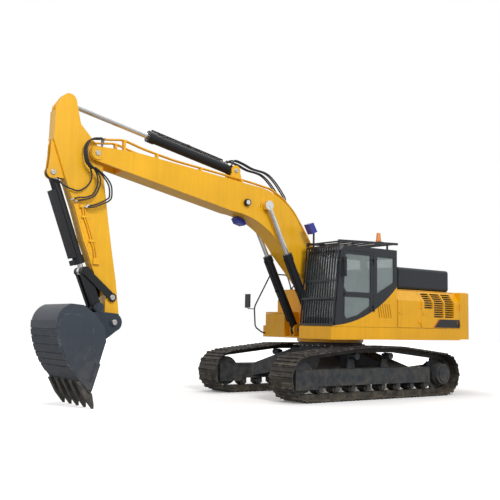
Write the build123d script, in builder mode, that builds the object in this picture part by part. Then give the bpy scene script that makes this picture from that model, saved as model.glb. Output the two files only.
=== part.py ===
"""Crawler excavator of the 33 tonne class, in millimetres.

Frame: +X forward along the boom, +Y to the cab side, +Z up, origin on the
swing axis at ground level.  Points written as pairs are (X, Z) in an upright
plane along the machine, or (X, Y) in a level one.
"""
import os
from math import acos, atan2, ceil, cos, degrees, hypot, pi, radians, sin

from build123d import *

os.makedirs("parts", exist_ok=True)

# ---------------------------------------------------------------- fits
pin_fit = 0.3            # radial clearance of a pin in its bore
face_fit = 0.3           # gap between faces that seat on each other
side_fit = 5.0           # side clearance between moving plates

# ---------------------------------------------------------------- undercarriage
gauge = 2590.0           # centre to centre of the tracks
shoe_width = 700.0
tumbler_distance = 4040.0
tumbler_height = 470.0   # height of the sprocket and idler axles
grouser_height = 26.0
shoe_thickness = 14.0
shoe_count = 48
hump_half_length = 620.0     # half the level run over the carrier rollers
hump_height = 1066.0         # shoe face on that run
chain_depth = 100.0          # link rails inside the shoes
rail_spacing = 130.0         # centre to centre of the two link rails
rail_thickness = 42.0
roller_radius = 88.0
roller_count = 8
roller_span = 3080.0         # first to last bottom roller
carrier_radius = 70.0
carrier_spacing = 1000.0
sprocket_tooth_height = 54.0
sprocket_width = 60.0
sprocket_teeth = 13
frame_beam_low = 345.0
frame_beam_high = 625.0
frame_beam_width = 380.0
body_plate_low = 500.0
body_plate_high = 1000.0
bearing_radius = 720.0
bearing_low = 1060.0
bearing_split = 1140.0
deck_low = 1220.0

# ---------------------------------------------------------------- working gear pins
foot_pin = (140.0, 1866.0)
boom_cylinder_foot = (735.0, 1400.0)
boom_cylinder_eye = (2085.0, 3985.0)
tip_pin = (5945.0, 4535.0)
arm_cylinder_foot = (2770.0, 4670.0)
arm_cylinder_eye = (6468.0, 5421.0)
bucket_cylinder_foot = (6700.0, 4110.0)
idler_pin = (5512.0, 1929.0)
link_pin = (6050.0, 2386.0)
bucket_pin = (5490.0, 1478.0)
bucket_link_pin = (5776.0, 1732.0)
pin_radius = 50.0

boom_half_width = 235.0
boom_wall = 30.0
arm_half_width = 125.0
hub_half_width = 175.0       # arm hubs at the boom and at the bucket
arm_wall = 25.0
boom_cylinder_y = 345.0

# ---------------------------------------------------------------- house
house_half_width = 1450.0
side_hinge_y = house_half_width + 25.0     # hinge lines of the side doors and of the cab door
skirt_top = 1480.0
shoulder_height = 2080.0
body_top = 2330.0
shoulder_inset = 200.0
tail_radius = 3445.0
counterweight_front = -2750.0
panel_thickness = 40.0
cab_inner_y = 455.0
cab_wall = 45.0
cab_floor = 1500.0
cab_top = 3160.0
cab_rear = -620.0
bulkhead_front = -650.0
bulkhead_mid = -1410.0


wheel_play = 4.0         # idler and sprocket inside the chain
beam_gap = 16.0          # between the frame beams and the wheels


def side(y):
    """Upright plane at a given Y: local x is forward, local y is up."""
    return Plane.XZ.offset(-y)


def save(part, name):
    part.label = name
    export_step(part, "parts/" + name + ".step")


def span(a, b):
    return hypot(b[0] - a[0], b[1] - a[1])


def axis_plane(a, b, y):
    """Plane across the line from a to b, its origin at a and its normal along the line."""
    direction = (b[0] - a[0], 0, b[1] - a[1])
    return Plane(origin=(a[0], y, a[1]), x_dir=(0, 1, 0), z_dir=direction)


# ================================================================ undercarriage
def track_stations():
    """Points on the shoe face at equal steps round the loop, and the step."""
    half = tumbler_distance / 2
    radius = tumbler_height - grouser_height
    dx = half - hump_half_length
    dz = hump_height - tumbler_height
    reach = hypot(dx, dz)
    tangent = atan2(dz, -dx) - acos(radius / reach)
    touch = (half + radius * cos(tangent), tumbler_height + radius * sin(tangent))
    middle = (tangent - pi / 2) / 2
    bend = (half + radius * cos(middle), tumbler_height + radius * sin(middle))
    low = grouser_height
    with BuildLine() as loop:
        Line((-half, low), (half, low))
        ThreePointArc((half, low), bend, touch)
        Line(touch, (hump_half_length, hump_height))
        Line((hump_half_length, hump_height), (-hump_half_length, hump_height))
        Line((-hump_half_length, hump_height), (-touch[0], touch[1]))
        ThreePointArc((-touch[0], touch[1]), (-bend[0], bend[1]), (-half, low))
    wire = loop.wires()[0]
    points = [wire @ (i / shoe_count) for i in range(shoe_count)]
    return [(p.X, p.Y) for p in points], wire.length / shoe_count


def inward(points, depth):
    """The station points moved square to the loop by a depth."""
    moved = []
    count = len(points)
    for i, (x, z) in enumerate(points):
        before, after = points[i - 1], points[(i + 1) % count]
        dx, dz = after[0] - before[0], after[1] - before[1]
        length = hypot(dx, dz)
        moved.append((x - dz / length * depth, z + dx / length * depth))
    return moved


# one shoe, from its leading joint: share of the pitch, height over the shoe face
shoe_profile = [
    (0.000, -8.0),
    (0.020, 24.0),
    (0.090, 24.0),
    (0.120, 0.0),
    (0.455, 0.0),
    (0.500, grouser_height),
    (0.545, 0.0),
    (0.880, 0.0),
    (0.910, 24.0),
    (0.980, 24.0),
]

stations, pitch = track_stations()
shoe_outline = []
for i, (x, z) in enumerate(stations):
    x2, z2 = stations[(i + 1) % shoe_count]
    dx, dz = (x2 - x), (z2 - z)
    length = hypot(dx, dz)
    for share, height in shoe_profile:
        shoe_outline.append((x + dx * share + dz / length * height,
                             z + dz * share - dx / length * height))
plate_inside = inward(stations, shoe_thickness)
rail_inside = inward(stations, shoe_thickness + chain_depth)

for name, track_y in (("track_left", gauge / 2), ("track_right", -gauge / 2)):
    with BuildPart() as track:
        with BuildSketch(side(track_y)):
            Polygon(*shoe_outline, align=None)
            Polygon(*plate_inside, align=None, mode=Mode.SUBTRACT)
        extrude(amount=shoe_width / 2, both=True)
        for rail_y in (-rail_spacing / 2, rail_spacing / 2):
            with BuildSketch(side(track_y + rail_y)):
                Polygon(*plate_inside, align=None)
                Polygon(*rail_inside, align=None, mode=Mode.SUBTRACT)
            extrude(amount=rail_thickness / 2, both=True)
    save(track.part, name)

# wheels run on the polygon that the link rails make round the tumblers
wrap_radius = tumbler_height - grouser_height
rail_run_radius = ((wrap_radius - shoe_thickness - chain_depth) * cos(pitch / wrap_radius / 2)
                   - wheel_play)
rail_floor = grouser_height + shoe_thickness + chain_depth
wheel_sides = (("left", 1), ("right", -1))

with BuildPart() as idlers:
    for label, sign in wheel_sides:
        with BuildSketch(side(sign * gauge / 2)):
            with Locations((tumbler_distance / 2, tumbler_height)):
                Circle(rail_run_radius)
                Circle(60 + pin_fit, mode=Mode.SUBTRACT)
        extrude(amount=105, both=True)
save(idlers.part, "idlers")

with BuildPart() as sprockets:
    for label, sign in wheel_sides:
        with BuildSketch(side(sign * gauge / 2)):
            with Locations((-tumbler_distance / 2, tumbler_height)):
                Circle(rail_run_radius + sprocket_tooth_height)
                with PolarLocations(rail_run_radius + sprocket_tooth_height, sprocket_teeth):
                    Circle(46, mode=Mode.SUBTRACT)
        extrude(amount=sprocket_width / 2, both=True)
save(sprockets.part, "sprockets")

cheek_near = 176.0           # from the track centre to the cheek that carries the final drive
cheek_far = 219.0
with BuildPart() as final_drives:
    for label, sign in wheel_sides:
        hub = (-tumbler_distance / 2, tumbler_height)
        # cover outside the sprocket, stepped, and motor housing inside it
        for radius, near, far in (
                (250.0, sprocket_width / 2 + face_fit, 150.0),
                (225.0, 150.0, 255.0),
                (165.0, 255.0, 285.0)):
            with BuildSketch(side(sign * (gauge / 2 + near))):
                with Locations(hub):
                    Circle(radius)
            extrude(amount=-sign * (far - near))
        for radius, near, far in (
                (240.0, sprocket_width / 2 + face_fit, cheek_near - face_fit),
                (150.0, cheek_near - face_fit, 420.0)):
            with BuildSketch(side(sign * (gauge / 2 - near))):
                with Locations(hub):
                    Circle(radius)
            extrude(amount=sign * (far - near))
save(final_drives.part, "final_drives")

roller_height = rail_floor + face_fit + roller_radius
roller_places = [-roller_span / 2 + roller_span * i / (roller_count - 1) for i in range(roller_count)]
with BuildPart() as rollers:
    for label, sign in wheel_sides:
        with BuildSketch(side(sign * gauge / 2)):
            with Locations(*[(x, roller_height) for x in roller_places]):
                RegularPolygon(roller_radius, 20, rotation=-9)
        extrude(amount=100, both=True)
        # collars that hang the roller shafts under the frame
        for block_y in (-124, 124):
            with BuildSketch(side(sign * gauge / 2 + block_y)):
                with Locations(*[(x, (roller_height - 50 + frame_beam_low - face_fit) / 2)
                                 for x in roller_places]):
                    Rectangle(110, frame_beam_low - face_fit - roller_height + 50)
            extrude(amount=26, both=True)
save(rollers.part, "bottom_rollers")

carrier_height = hump_height - shoe_thickness - chain_depth - 8 - carrier_radius
with BuildPart() as carriers:
    for label, sign in wheel_sides:
        for x in (-carrier_spacing / 2, carrier_spacing / 2):
            with BuildSketch(side(sign * gauge / 2)):
                with Locations((x, carrier_height)):
                    Circle(carrier_radius)
            extrude(amount=95, both=True)
            # bracket from the frame beam up to the roller's inner end
            foot = frame_beam_high + face_fit
            with BuildSketch(side(sign * (gauge / 2 - 110))):
                Polygon((x - 110, foot), (x + 110, foot), (x + 60, carrier_height + 50),
                        (x - 60, carrier_height + 50), align=None)
            extrude(amount=15.5, both=True)
save(carriers.part, "carrier_rollers")

axle = tumbler_distance / 2
half = axle - rail_run_radius - sprocket_tooth_height - beam_gap
with BuildPart() as beam:
    for label, sign in wheel_sides:
        middle_y = sign * gauge / 2
        with BuildSketch(side(middle_y)):
            Polygon((-half, frame_beam_low), (half, frame_beam_low),
                    (half, frame_beam_high), (-half, frame_beam_high), align=None)
        extrude(amount=frame_beam_width / 2, both=True)
        # lips outside and inside the bottom rollers
        for lip_y in (-frame_beam_width / 2 + 12, frame_beam_width / 2 - 12):
            with BuildSketch(side(middle_y + lip_y)):
                Polygon((-half, 300), (half, 300), (half, frame_beam_low + 1),
                        (-half, frame_beam_low + 1), align=None)
            extrude(amount=12, both=True)
        # fork plates that carry the idler axle
        for fork_y in (-148, 148):
            with BuildSketch(side(middle_y + fork_y)):
                Polygon((half - 1, 240), (axle + 210, 240), (axle + 210, 620),
                        (half - 1, 620), align=None)
            extrude(amount=38, both=True)
        with BuildSketch(side(middle_y)):
            with Locations((axle, tumbler_height)):
                Circle(60)
        extrude(amount=115, both=True)
        # inner cheek that carries the final drive
        with BuildSketch(side(middle_y - sign * (cheek_near + cheek_far) / 2)):
            with Locations((-axle, tumbler_height)):
                Circle(235)
            Polygon((-half + 200, frame_beam_low), (-half + 200, frame_beam_high),
                    (-axle, tumbler_height + 200), (-axle, tumbler_height - 200), align=None)
            with Locations((-axle, tumbler_height)):
                Circle(150 + pin_fit, mode=Mode.SUBTRACT)
        extrude(amount=(cheek_far - cheek_near) / 2, both=True)
save(beam.part, "track_frames")

leg_root_y = 520.0
towing_x = 800.0
towing_plate = 50.0
leg_tip_y = gauge / 2 - frame_beam_width / 2 - face_fit
with BuildPart() as car_body:
    with BuildSketch(Plane.XY.offset(body_plate_low)):
        Rectangle(1360, 2 * leg_root_y)
    extrude(amount=body_plate_high - body_plate_low)
    with BuildSketch(Plane.XY.offset(body_plate_high)):
        Circle(bearing_radius - 20)
    extrude(amount=bearing_low - body_plate_high)
    for sign_x in (-1, 1):
        for sign_y in (-1, 1):
            root = Plane.XZ.offset(-sign_y * (leg_root_y - 10))
            tip = Plane.XZ.offset(-sign_y * leg_tip_y)
            with BuildSketch(root):
                with Locations((sign_x * 420, 760)):
                    Rectangle(520, 460)
            with BuildSketch(tip):
                with Locations((sign_x * 1050, 490)):
                    Rectangle(620, 270)
            loft(ruled=True)
    # towing plates fore and aft, with upright holes
    for sign_x in (-1, 1):
        with BuildSketch(Plane.XY.offset(body_plate_low)):
            with Locations((sign_x * towing_x, 0)):
                Circle(75)
                Rectangle(2 * (towing_x - 670), 150)
        extrude(amount=towing_plate)
    with BuildSketch(Plane.XY.offset(body_plate_low)):
        with Locations((-towing_x, 0), (towing_x, 0)):
            Circle(35)
    extrude(amount=towing_plate, mode=Mode.SUBTRACT)
save(car_body.part, "car_body")

with BuildPart() as bearing:
    with BuildSketch(Plane.XY.offset(bearing_low + face_fit)):
        Circle(bearing_radius + 60)
        Circle(bearing_radius - 140, mode=Mode.SUBTRACT)
    extrude(amount=40)
    with BuildSketch(Plane.XY.offset(bearing_low + 40 + face_fit)):
        Circle(bearing_radius)
        Circle(bearing_radius - 140, mode=Mode.SUBTRACT)
    extrude(amount=bearing_split - bearing_low - 40 - face_fit)
save(bearing.part, "swing_bearing")

# ================================================================ house frame
foot_boss = 190.0
bracket_in = boom_half_width + 15 + side_fit       # inside face of a boom foot bracket
bracket_thickness = 40.0
cylinder_eye_half = 45.0
outer_bracket_in = boom_cylinder_y + cylinder_eye_half + side_fit
outer_bracket_thickness = 20.0

with BuildPart() as revolving_frame:
    # upper ring of the swing bearing
    with BuildSketch(Plane.XY.offset(bearing_split + face_fit)):
        Circle(bearing_radius + 30)
    extrude(amount=deck_low - bearing_split - face_fit)
    # floor plate: cab step on the left, notch before the boom foot
    with BuildSketch(Plane.XY.offset(deck_low)):
        Polygon((counterweight_front, -house_half_width), (counterweight_front, house_half_width),
                (1300, house_half_width), (1300, cab_inner_y), (950, cab_inner_y - 20),
                (950, -cab_inner_y), (800, -570), (800, -house_half_width), align=None)
    extrude(amount=30)
    # side channels
    for y_low, y_high, x_front in ((house_half_width - 80, house_half_width, 1300),
                                   (-house_half_width, 80 - house_half_width, 800)):
        with BuildSketch(Plane.XY.offset(deck_low)):
            Polygon((counterweight_front, y_low), (x_front, y_low), (x_front, y_high),
                    (counterweight_front, y_high), align=None)
        extrude(amount=skirt_top - deck_low)
    # front face under the cab
    with BuildSketch(Plane.XY.offset(deck_low)):
        Polygon((1260, cab_inner_y), (1300, cab_inner_y), (1300, house_half_width - 50),
                (1260, house_half_width - 50), align=None)
    extrude(amount=skirt_top - deck_low)
    # cross beams under the cab
    for x in (-500, 1150):
        with Locations((x, house_half_width - 70, (deck_low + cab_floor - face_fit) / 2)):
            Box(100, house_half_width - 530, cab_floor - face_fit - deck_low,
                align=(Align.CENTER, Align.MAX, Align.CENTER))
    # the two main beams with the boom foot brackets
    for sign in (-1, 1):
        with BuildSketch(side(sign * (bracket_in + bracket_thickness / 2))):
            Polygon((counterweight_front, deck_low), (880, deck_low), (850, 1290), (300, 1720),
                    (140, 2056), (-60, 1890), (-700, 1480), (counterweight_front, 1480), align=None)
            with Locations(foot_pin):
                Circle(foot_boss)
            with Locations(boom_cylinder_foot):
                Circle(120)
            with Locations(foot_pin, boom_cylinder_foot):
                Circle(pin_radius + pin_fit, mode=Mode.SUBTRACT)
        extrude(amount=bracket_thickness / 2, both=True)
        # outer ear of each boom cylinder foot
        with BuildSketch(side(sign * (outer_bracket_in + outer_bracket_thickness / 2))):
            Polygon((600, deck_low), (860, deck_low), (840, 1290), (830, 1400), (640, 1400), align=None)
            with Locations(boom_cylinder_foot):
                Circle(115)
                Circle(pin_radius + pin_fit, mode=Mode.SUBTRACT)
        extrude(amount=outer_bracket_thickness / 2, both=True)
save(revolving_frame.part, "revolving_frame")

with BuildPart() as foot_pins:
    with BuildSketch(side(0)):
        with Locations(foot_pin):
            Circle(pin_radius)
    extrude(amount=bracket_in + bracket_thickness + 12, both=True)
    for sign in (-1, 1):
        inner = sign * (bracket_in + 4)
        outer = sign * (outer_bracket_in + outer_bracket_thickness + 8)
        with BuildSketch(side(inner)):
            with Locations(boom_cylinder_foot):
                Circle(pin_radius)
        extrude(amount=inner - outer)
save(foot_pins.part, "foot_pins")

# ================================================================ boom
with BuildPart() as boom:
    with BuildSketch(side(0)) as boom_profile:
        with BuildLine():
            Line((-30, 1960), (1150, 3700))
            ThreePointArc((1150, 3700), (1620, 4160), (2300, 4375))
            Line((2300, 4375), (5100, 4665))
            Line((5100, 4665), (5945, 4670))
            ThreePointArc((5945, 4670), (6080, 4535), (5960, 4400))
            Line((5960, 4400), (2900, 3790))
            ThreePointArc((2900, 3790), (2120, 3560), (1550, 3040))
            Line((1550, 3040), (290, 1750))
            Line((290, 1750), (-30, 1960))
        make_face()
        with Locations(foot_pin):
            Circle(foot_boss)
    extrude(amount=boom_half_width, both=True)
    # inside of the box section
    with BuildSketch(side(0)):
        with BuildLine():
            Line((280, 2230), (1180, 3650))
            ThreePointArc((1180, 3650), (1640, 4125), (2300, 4340))
            Line((2300, 4340), (5250, 4635))
            Line((5250, 4635), (5250, 4295))
            Line((5250, 4295), (2890, 3830))
            ThreePointArc((2890, 3830), (2090, 3600), (1520, 3075))
            Line((1520, 3075), (620, 2150))
            Line((620, 2150), (280, 2230))
        make_face()
    extrude(amount=boom_half_width - boom_wall, both=True, mode=Mode.SUBTRACT)
    # fork at the tip for the arm
    with BuildSketch(side(0)):
        with Locations(tip_pin):
            Circle(600)
    extrude(amount=hub_half_width + side_fit, both=True, mode=Mode.SUBTRACT)
    # bosses of the foot, of the boom cylinder pin and of the tip
    for centre, radius, reach in (
            (foot_pin, 150.0, boom_half_width + 15),
            (boom_cylinder_eye, 130.0, boom_half_width + 15)):
        with BuildSketch(side(0)):
            with Locations(centre):
                Circle(radius)
        extrude(amount=reach, both=True)
    for sign in (-1, 1):
        with BuildSketch(side(sign * boom_half_width)):
            with Locations(tip_pin):
                Circle(120)
        extrude(amount=-sign * 25)
        # end of the boom cylinders' pin, with its cap
        with BuildSketch(side(sign * boom_half_width)):
            with Locations(boom_cylinder_eye):
                Circle(95)
        extrude(amount=-sign * (boom_cylinder_y - cylinder_eye_half - side_fit - boom_half_width))
    # ears on the back for the arm cylinder's foot
    for sign in (-1, 1):
        with BuildSketch(side(sign * 90)):
            Polygon((2580, 4385), (2950, 4425), (2865, 4640), (2680, 4680), align=None)
            with Locations(arm_cylinder_foot):
                Circle(110)
        extrude(amount=20, both=True)
    with BuildSketch(side(0)):
        with Locations(foot_pin, tip_pin, arm_cylinder_foot):
            Circle(pin_radius + pin_fit)
    extrude(amount=boom_half_width + 40, both=True, mode=Mode.SUBTRACT)
save(boom.part, "boom")

with BuildPart() as boom_pins:
    for centre, reach in ((tip_pin, boom_half_width + 35), (arm_cylinder_foot, 125.0)):
        with BuildSketch(side(0)):
            with Locations(centre):
                Circle(pin_radius)
        extrude(amount=reach, both=True)
save(boom_pins.part, "boom_pins")

boom_top_low = (2300.0, 4375.0)
boom_top_high = (5100.0, 4665.0)
boom_back_low = (-30.0, 1960.0)
boom_back_high = (1150.0, 3700.0)


def over(a, b, x, rise):
    """Point over the line from a to b at x, at a height square to it."""
    length = span(a, b)
    slope_x, slope_z = (b[0] - a[0]) / length, (b[1] - a[1]) / length
    return (x - slope_z * rise, a[1] + (x - a[0]) * slope_z / slope_x + slope_x * rise)


def tube(points, radius, bend, sides=6):
    """Bar of many sides along a path of straight runs with cut corners."""
    cut = []
    for i, p in enumerate(points):
        here = Vector(*p)
        if 0 < i < len(points) - 1:
            for q in (points[i - 1], points[i + 1]):
                toward = Vector(*q) - here
                cut.append(here + toward * min(0.45, bend / toward.length))
        else:
            cut.append(here)
    with BuildPart() as bar:
        with BuildLine() as path:
            Polyline(*cut)
        with BuildSketch(Plane(origin=path.line @ 0, z_dir=path.line % 0)):
            RegularPolygon(radius, sides)
        sweep(transition=Transition.RIGHT)
    return bar.part


# oil pipes along the top of the boom on brackets, two a side
pipe_rise = 62.0
pipe_path = ((5850, 4815), (5650, 4838), (5410, 4876), (5010, 4770), (4700, 4712),
             over(boom_top_low, boom_top_high, 4300, pipe_rise),
             over(boom_top_low, boom_top_high, 2500, pipe_rise),
             (1900, 4372), (1570, 4196), (1280, 3950),
             over(boom_back_low, boom_back_high, 1020, pipe_rise),
             over(boom_back_low, boom_back_high, 330, pipe_rise))
with BuildPart() as boom_pipes:
    for sign in (-1, 1):
        for y in (162, 208):
            add(tube([(x, sign * y, z) for x, z in pipe_path], 17, 60))
        # brackets: line that they stand on, place and height
        for a, b, x, rise in (
                (boom_top_high, (5945, 4670), 5395, 208),
                (boom_top_low, boom_top_high, 4700, 78),
                (boom_top_low, boom_top_high, 3700, 72),
                (boom_top_low, boom_top_high, 2700, 72),
                (boom_back_low, boom_back_high, 950, 72),
                (boom_back_low, boom_back_high, 450, 72)):
            with BuildSketch(side(sign * 185)):
                Polygon(over(a, b, x - 22, face_fit), over(a, b, x + 22, face_fit),
                        over(a, b, x + 22, rise), over(a, b, x - 22, rise), align=None)
            extrude(amount=44, both=True)
save(boom_pipes.part, "boom_pipes")

# hoses from the back of the boom to the arm cylinder's foot
with BuildPart() as cylinder_hoses:
    for y, start in ((-122, (2985, 4752)), (-62, (2985, 4850)), (62, (2985, 4850)), (122, (2985, 4752))):
        add(tube([(x, y, z) for x, z in (start, (2900, start[1] + 15), (2815, 4892), (2600, 4850),
                                         (2350, 4765), (1990, 4725), (1740, 4560), (1500, 4300),
                                         (1452, 4190), (1440, 4062))], 17, 70))
save(cylinder_hoses.part, "arm_cylinder_hoses")

# work lamps under the boom and on its left side
with BuildPart() as boom_lamps:
    with BuildSketch(side(-110)):
        Polygon((2660, 3700), (2610, 3742), (2450, 3690), (2380, 3600), (2440, 3560), (2600, 3600),
                align=None)
    extrude(amount=90, both=True)
    with BuildSketch(side(-110)):
        Polygon((2560, 3736), (2500, 3720), (2500, 3660), (2560, 3660), align=None)
    extrude(amount=30, both=True)
    with BuildSketch(side(boom_half_width + face_fit)):
        with Locations((2560, 4010)):
            Rectangle(50, 60)
    extrude(amount=-40)
    with BuildSketch(side(boom_half_width + face_fit + 35)):
        with Locations((2590, 4000)):
            Circle(78)
    extrude(amount=-60, taper=12)
save(boom_lamps.part, "boom_lamps")

# ================================================================ arm
eye_half = 60.0                          # half width of the arm cylinder's eyes
bucket_eye_half = 45.0                   # and of the bucket cylinder's
arm_ear_in = eye_half + side_fit
foot_ear_in = bucket_eye_half + side_fit
bucket_barrel_radius = 84.0
arm_cavity_half = arm_half_width - arm_wall
with BuildPart() as arm:
    with BuildSketch(side(0)):
        Polygon((6725, 5234), (6667, 5277), (6585, 5325), (6537, 5315), (6218, 5032), (6010, 4815),
                (5800, 4600), (5770, 4250), (5716, 3898), (5647, 3441), (5555, 2893), (5440, 2270),
                (5355, 1670), (5345, 1500), (5640, 1450), (5625, 2040), (5860, 2330), (5989, 2678),
                (6102, 2941), (6285, 3511), (6456, 3943), (6740, 4714), (6733, 4760), align=None)
        with Locations(tip_pin):
            Circle(170)
        with Locations(bucket_pin):
            Circle(150)
    extrude(amount=arm_half_width, both=True)
    with BuildSketch(side(0)):
        Polygon((6300, 5020), (6500, 5035), (6640, 5180), (6700, 5180), (6705, 4740), (6430, 3965),
                (6255, 3500), (5960, 2690), (5830, 2350), (5560, 2150), (5480, 2280), (5680, 3440),
                (5745, 3880), (6080, 4340), (6130, 4780), align=None)
    extrude(amount=arm_cavity_half, both=True, mode=Mode.SUBTRACT)
    # well in the head that the arm cylinder's eye swings in
    with BuildSketch(side(0)):
        Polygon((6620, 5600), (6620, 5235), (6500, 5085), (6300, 5075), (6150, 5180), (6150, 5600),
                align=None)
    extrude(amount=arm_ear_in, both=True, mode=Mode.SUBTRACT)
    for sign in (-1, 1):
        # ears of the arm cylinder
        with BuildSketch(side(sign * (arm_ear_in + 20))):
            with Locations((arm_cylinder_eye[0] - 6, arm_cylinder_eye[1] + 19)):
                Circle(140)
            Polygon((6701, 5335), (6578, 5518), (6325, 5471), (6245, 5120), (6218, 5035), (6500, 5000),
                    (6715, 5250), align=None)
        extrude(amount=20, both=True)
        # ears of the bucket cylinder, through the front plate
        with BuildSketch(side(sign * (foot_ear_in + 12.5))):
            Polygon((6725, 4780), (6762, 4600), (6768, 4400), (6790, 4180), (6640, 4030), (6561, 4022),
                    (6425, 4030), (6665, 4705), align=None)
            with Locations(bucket_cylinder_foot):
                Circle(112)
        extrude(amount=12.5, both=True)
    # hubs of the tip, of the bucket and of the idler links
    for centre, radius, reach in (
            (tip_pin, 150.0, hub_half_width),
            (bucket_pin, 140.0, hub_half_width),
            (idler_pin, 85.0, arm_half_width + 15)):
        with BuildSketch(side(0)):
            with Locations(centre):
                Circle(radius)
        extrude(amount=reach, both=True)
    # raised strips along the front edges of the side plates
    with BuildSketch(side(0)):
        Polygon((6262, 3505), (6192, 3520), (5885, 2685), (5957, 2690), align=None)
    extrude(amount=arm_half_width + 6, both=True)
    with BuildSketch(side(0)):
        with Locations(bucket_pin, tip_pin, bucket_cylinder_foot, idler_pin):
            Circle(pin_radius + pin_fit)
    extrude(amount=hub_half_width + 40, both=True, mode=Mode.SUBTRACT)
save(arm.part, "arm")

ear_thickness = 40.0
bucket_ear_in = hub_half_width + side_fit
link_y = arm_half_width + 15 + side_fit
link_thickness = 35.0
with BuildPart() as arm_pins:
    for centre, reach in (
            (bucket_pin, bucket_ear_in + ear_thickness + 45),
            (bucket_cylinder_foot, foot_ear_in + 25 + 15),
            (idler_pin, link_y + link_thickness + 10)):
        with BuildSketch(side(0)):
            with Locations(centre):
                Circle(pin_radius)
        extrude(amount=reach, both=True)
save(arm_pins.part, "arm_pins")

# steel pipes down the left side of the arm
with BuildPart() as arm_pipes:
    for shift in (0, 42):
        add(tube([(x + shift, arm_half_width + 34, z) for x, z in
                  ((6119, 3555), (6083, 3356), (6019, 3217), (5919, 2926), (5864, 2775), (5830, 2560))],
                 15, 40))
    for x, z, long, high in ((6105, 3360, 130, 40), (5945, 2935, 130, 40), (5850, 2570, 130, 110),
                             (6145, 3545, 130, 60)):
        with Locations((x, arm_half_width + 6 + face_fit + 24, z)):
            Box(long, 48, high)
save(arm_pipes.part, "arm_pipes")

# hoses round the joint of boom and arm: Y at the start, then points after the bundle as (X, Y, Z)
bundle = ((5858, 4813), (5920, 4800), (6080, 4765), (6170, 4660), (6190, 4520), (6150, 4350),
          (6065, 4250))
hose_runs = (
    (208, ((6030, 205, 4160), (6030, 200, 4030), (6112, 195, 3905), (6254, 190, 3812), (6397, 180, 3830),
           (6540, 150, 3891), (6641, 116, 3973), (6700, 116, 3990))),
    (240, ((5997, 240, 4235), (5925, 242, 4086), (5928, 242, 3929), (5999, 238, 3777), (6119, 230, 3706),
           (6270, 205, 3682), (6372, 150, 3640))),
    (272, ((5990, 270, 4225), (5890, 272, 4086), (5892, 272, 3929), (5975, 268, 3752), (6110, 250, 3672),
           (6250, 190, 3640), (6300, 160, 3610))),
    (304, ((5985, 300, 4230), (5822, 302, 4080), (5727, 302, 3941), (5708, 300, 3755), (5765, 296, 3692),
           (5842, 290, 3642), (5985, 250, 3573), (6100, 200, 3560))),
    (336, ((5975, 330, 4222), (5785, 334, 4080), (5690, 334, 3941), (5672, 334, 3745), (5735, 330, 3662),
           (5842, 320, 3606), (5985, 270, 3537), (6130, 200, 3530))),
)
with BuildPart() as arm_hoses:
    for y, run in hose_runs:
        add(tube([(x, y, z) for x, z in bundle] + list(run), 14, 45))
save(arm_hoses.part, "arm_hoses")

# ================================================================ bucket linkage
with BuildPart() as idler_links:
    for sign in (-1, 1):
        with BuildSketch(side(sign * (link_y + link_thickness / 2))):
            with Locations(idler_pin, link_pin):
                Circle(68)
            make_hull()
            with Locations(idler_pin, link_pin):
                Circle(80)
            with Locations(idler_pin):
                Circle(pin_radius + pin_fit, mode=Mode.SUBTRACT)
        extrude(amount=link_thickness / 2, both=True)
        # each side carries its own half of the upper link pin
        with BuildSketch(side(sign * (foot_ear_in + 2))):
            with Locations(link_pin):
                Circle(pin_radius)
        extrude(amount=-sign * (link_y + link_thickness + 10 - foot_ear_in))
save(idler_links.part, "idler_links")

link_plate = link_y - side_fit - foot_ear_in
with BuildPart() as bucket_link:
    for sign in (-1, 1):
        with BuildSketch(side(sign * (foot_ear_in + link_plate / 2))):
            with Locations(link_pin, bucket_link_pin):
                Circle(82)
            make_hull()
        extrude(amount=link_plate / 2, both=True)
    with BuildSketch(side(0)):
        with Locations(bucket_link_pin):
            Circle(82)
    extrude(amount=hub_half_width - 10, both=True)
    with BuildSketch(side(0)):
        with Locations(link_pin):
            Circle(pin_radius + pin_fit)
    extrude(amount=hub_half_width, both=True, mode=Mode.SUBTRACT)
save(bucket_link.part, "bucket_link")

# ================================================================ bucket
lip_half_width = 735.0                   # over the side plates at the lip
side_slant = 0.15                        # each side closes in by this share of the depth
bucket_wall = 30.0
lip_end = (6120.0, 265.0)
lip_rear = (6360.0, 555.0)
bowl_low = (6625.0, 975.0)
bowl_rear = (6725.0, 1400.0)
bowl_high = (6665.0, 1640.0)
bowl_top = (6470.0, 1785.0)


def between_sides(outline, margin):
    """The outline carried from one side plate to the other, with a margin outside them."""
    with BuildPart() as block:
        with BuildSketch(side(0)):
            add(outline)
        extrude(amount=lip_half_width + 80, both=True)
        for sign in (-1, 1):
            split(bisect_by=Plane(origin=(6050, sign * (lip_half_width + margin), 280),
                                  z_dir=(side_slant * 0.95, sign, side_slant * 0.313)),
                  keep=Keep.BOTTOM)
    return block.part


with BuildSketch() as bucket_outline:
    with BuildLine():
        Line(lip_end, lip_rear)
        ThreePointArc(lip_rear, bowl_low, bowl_rear)
        ThreePointArc(bowl_rear, bowl_high, bowl_top)
        Polyline(bowl_top, (6263, 1765), (6070, 1620), (5900, 1400), (5860, 1150), (5917, 967), lip_end)
    make_face()
with BuildSketch() as bowl_outline:
    with BuildLine():
        Line((6083, 259), (6093, 287))
        Line((6093, 287), (6331, 576))
        ThreePointArc((6331, 576), (6592, 990), (6689, 1400))
        ThreePointArc((6689, 1400), (6636, 1614), (6464, 1748))
        Polyline((6464, 1748), (6280, 1730), (6097, 1596), (5930, 1386), (5893, 1153), (5944, 982),
                 (5900, 960), (6083, 259))
    make_face()
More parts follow.
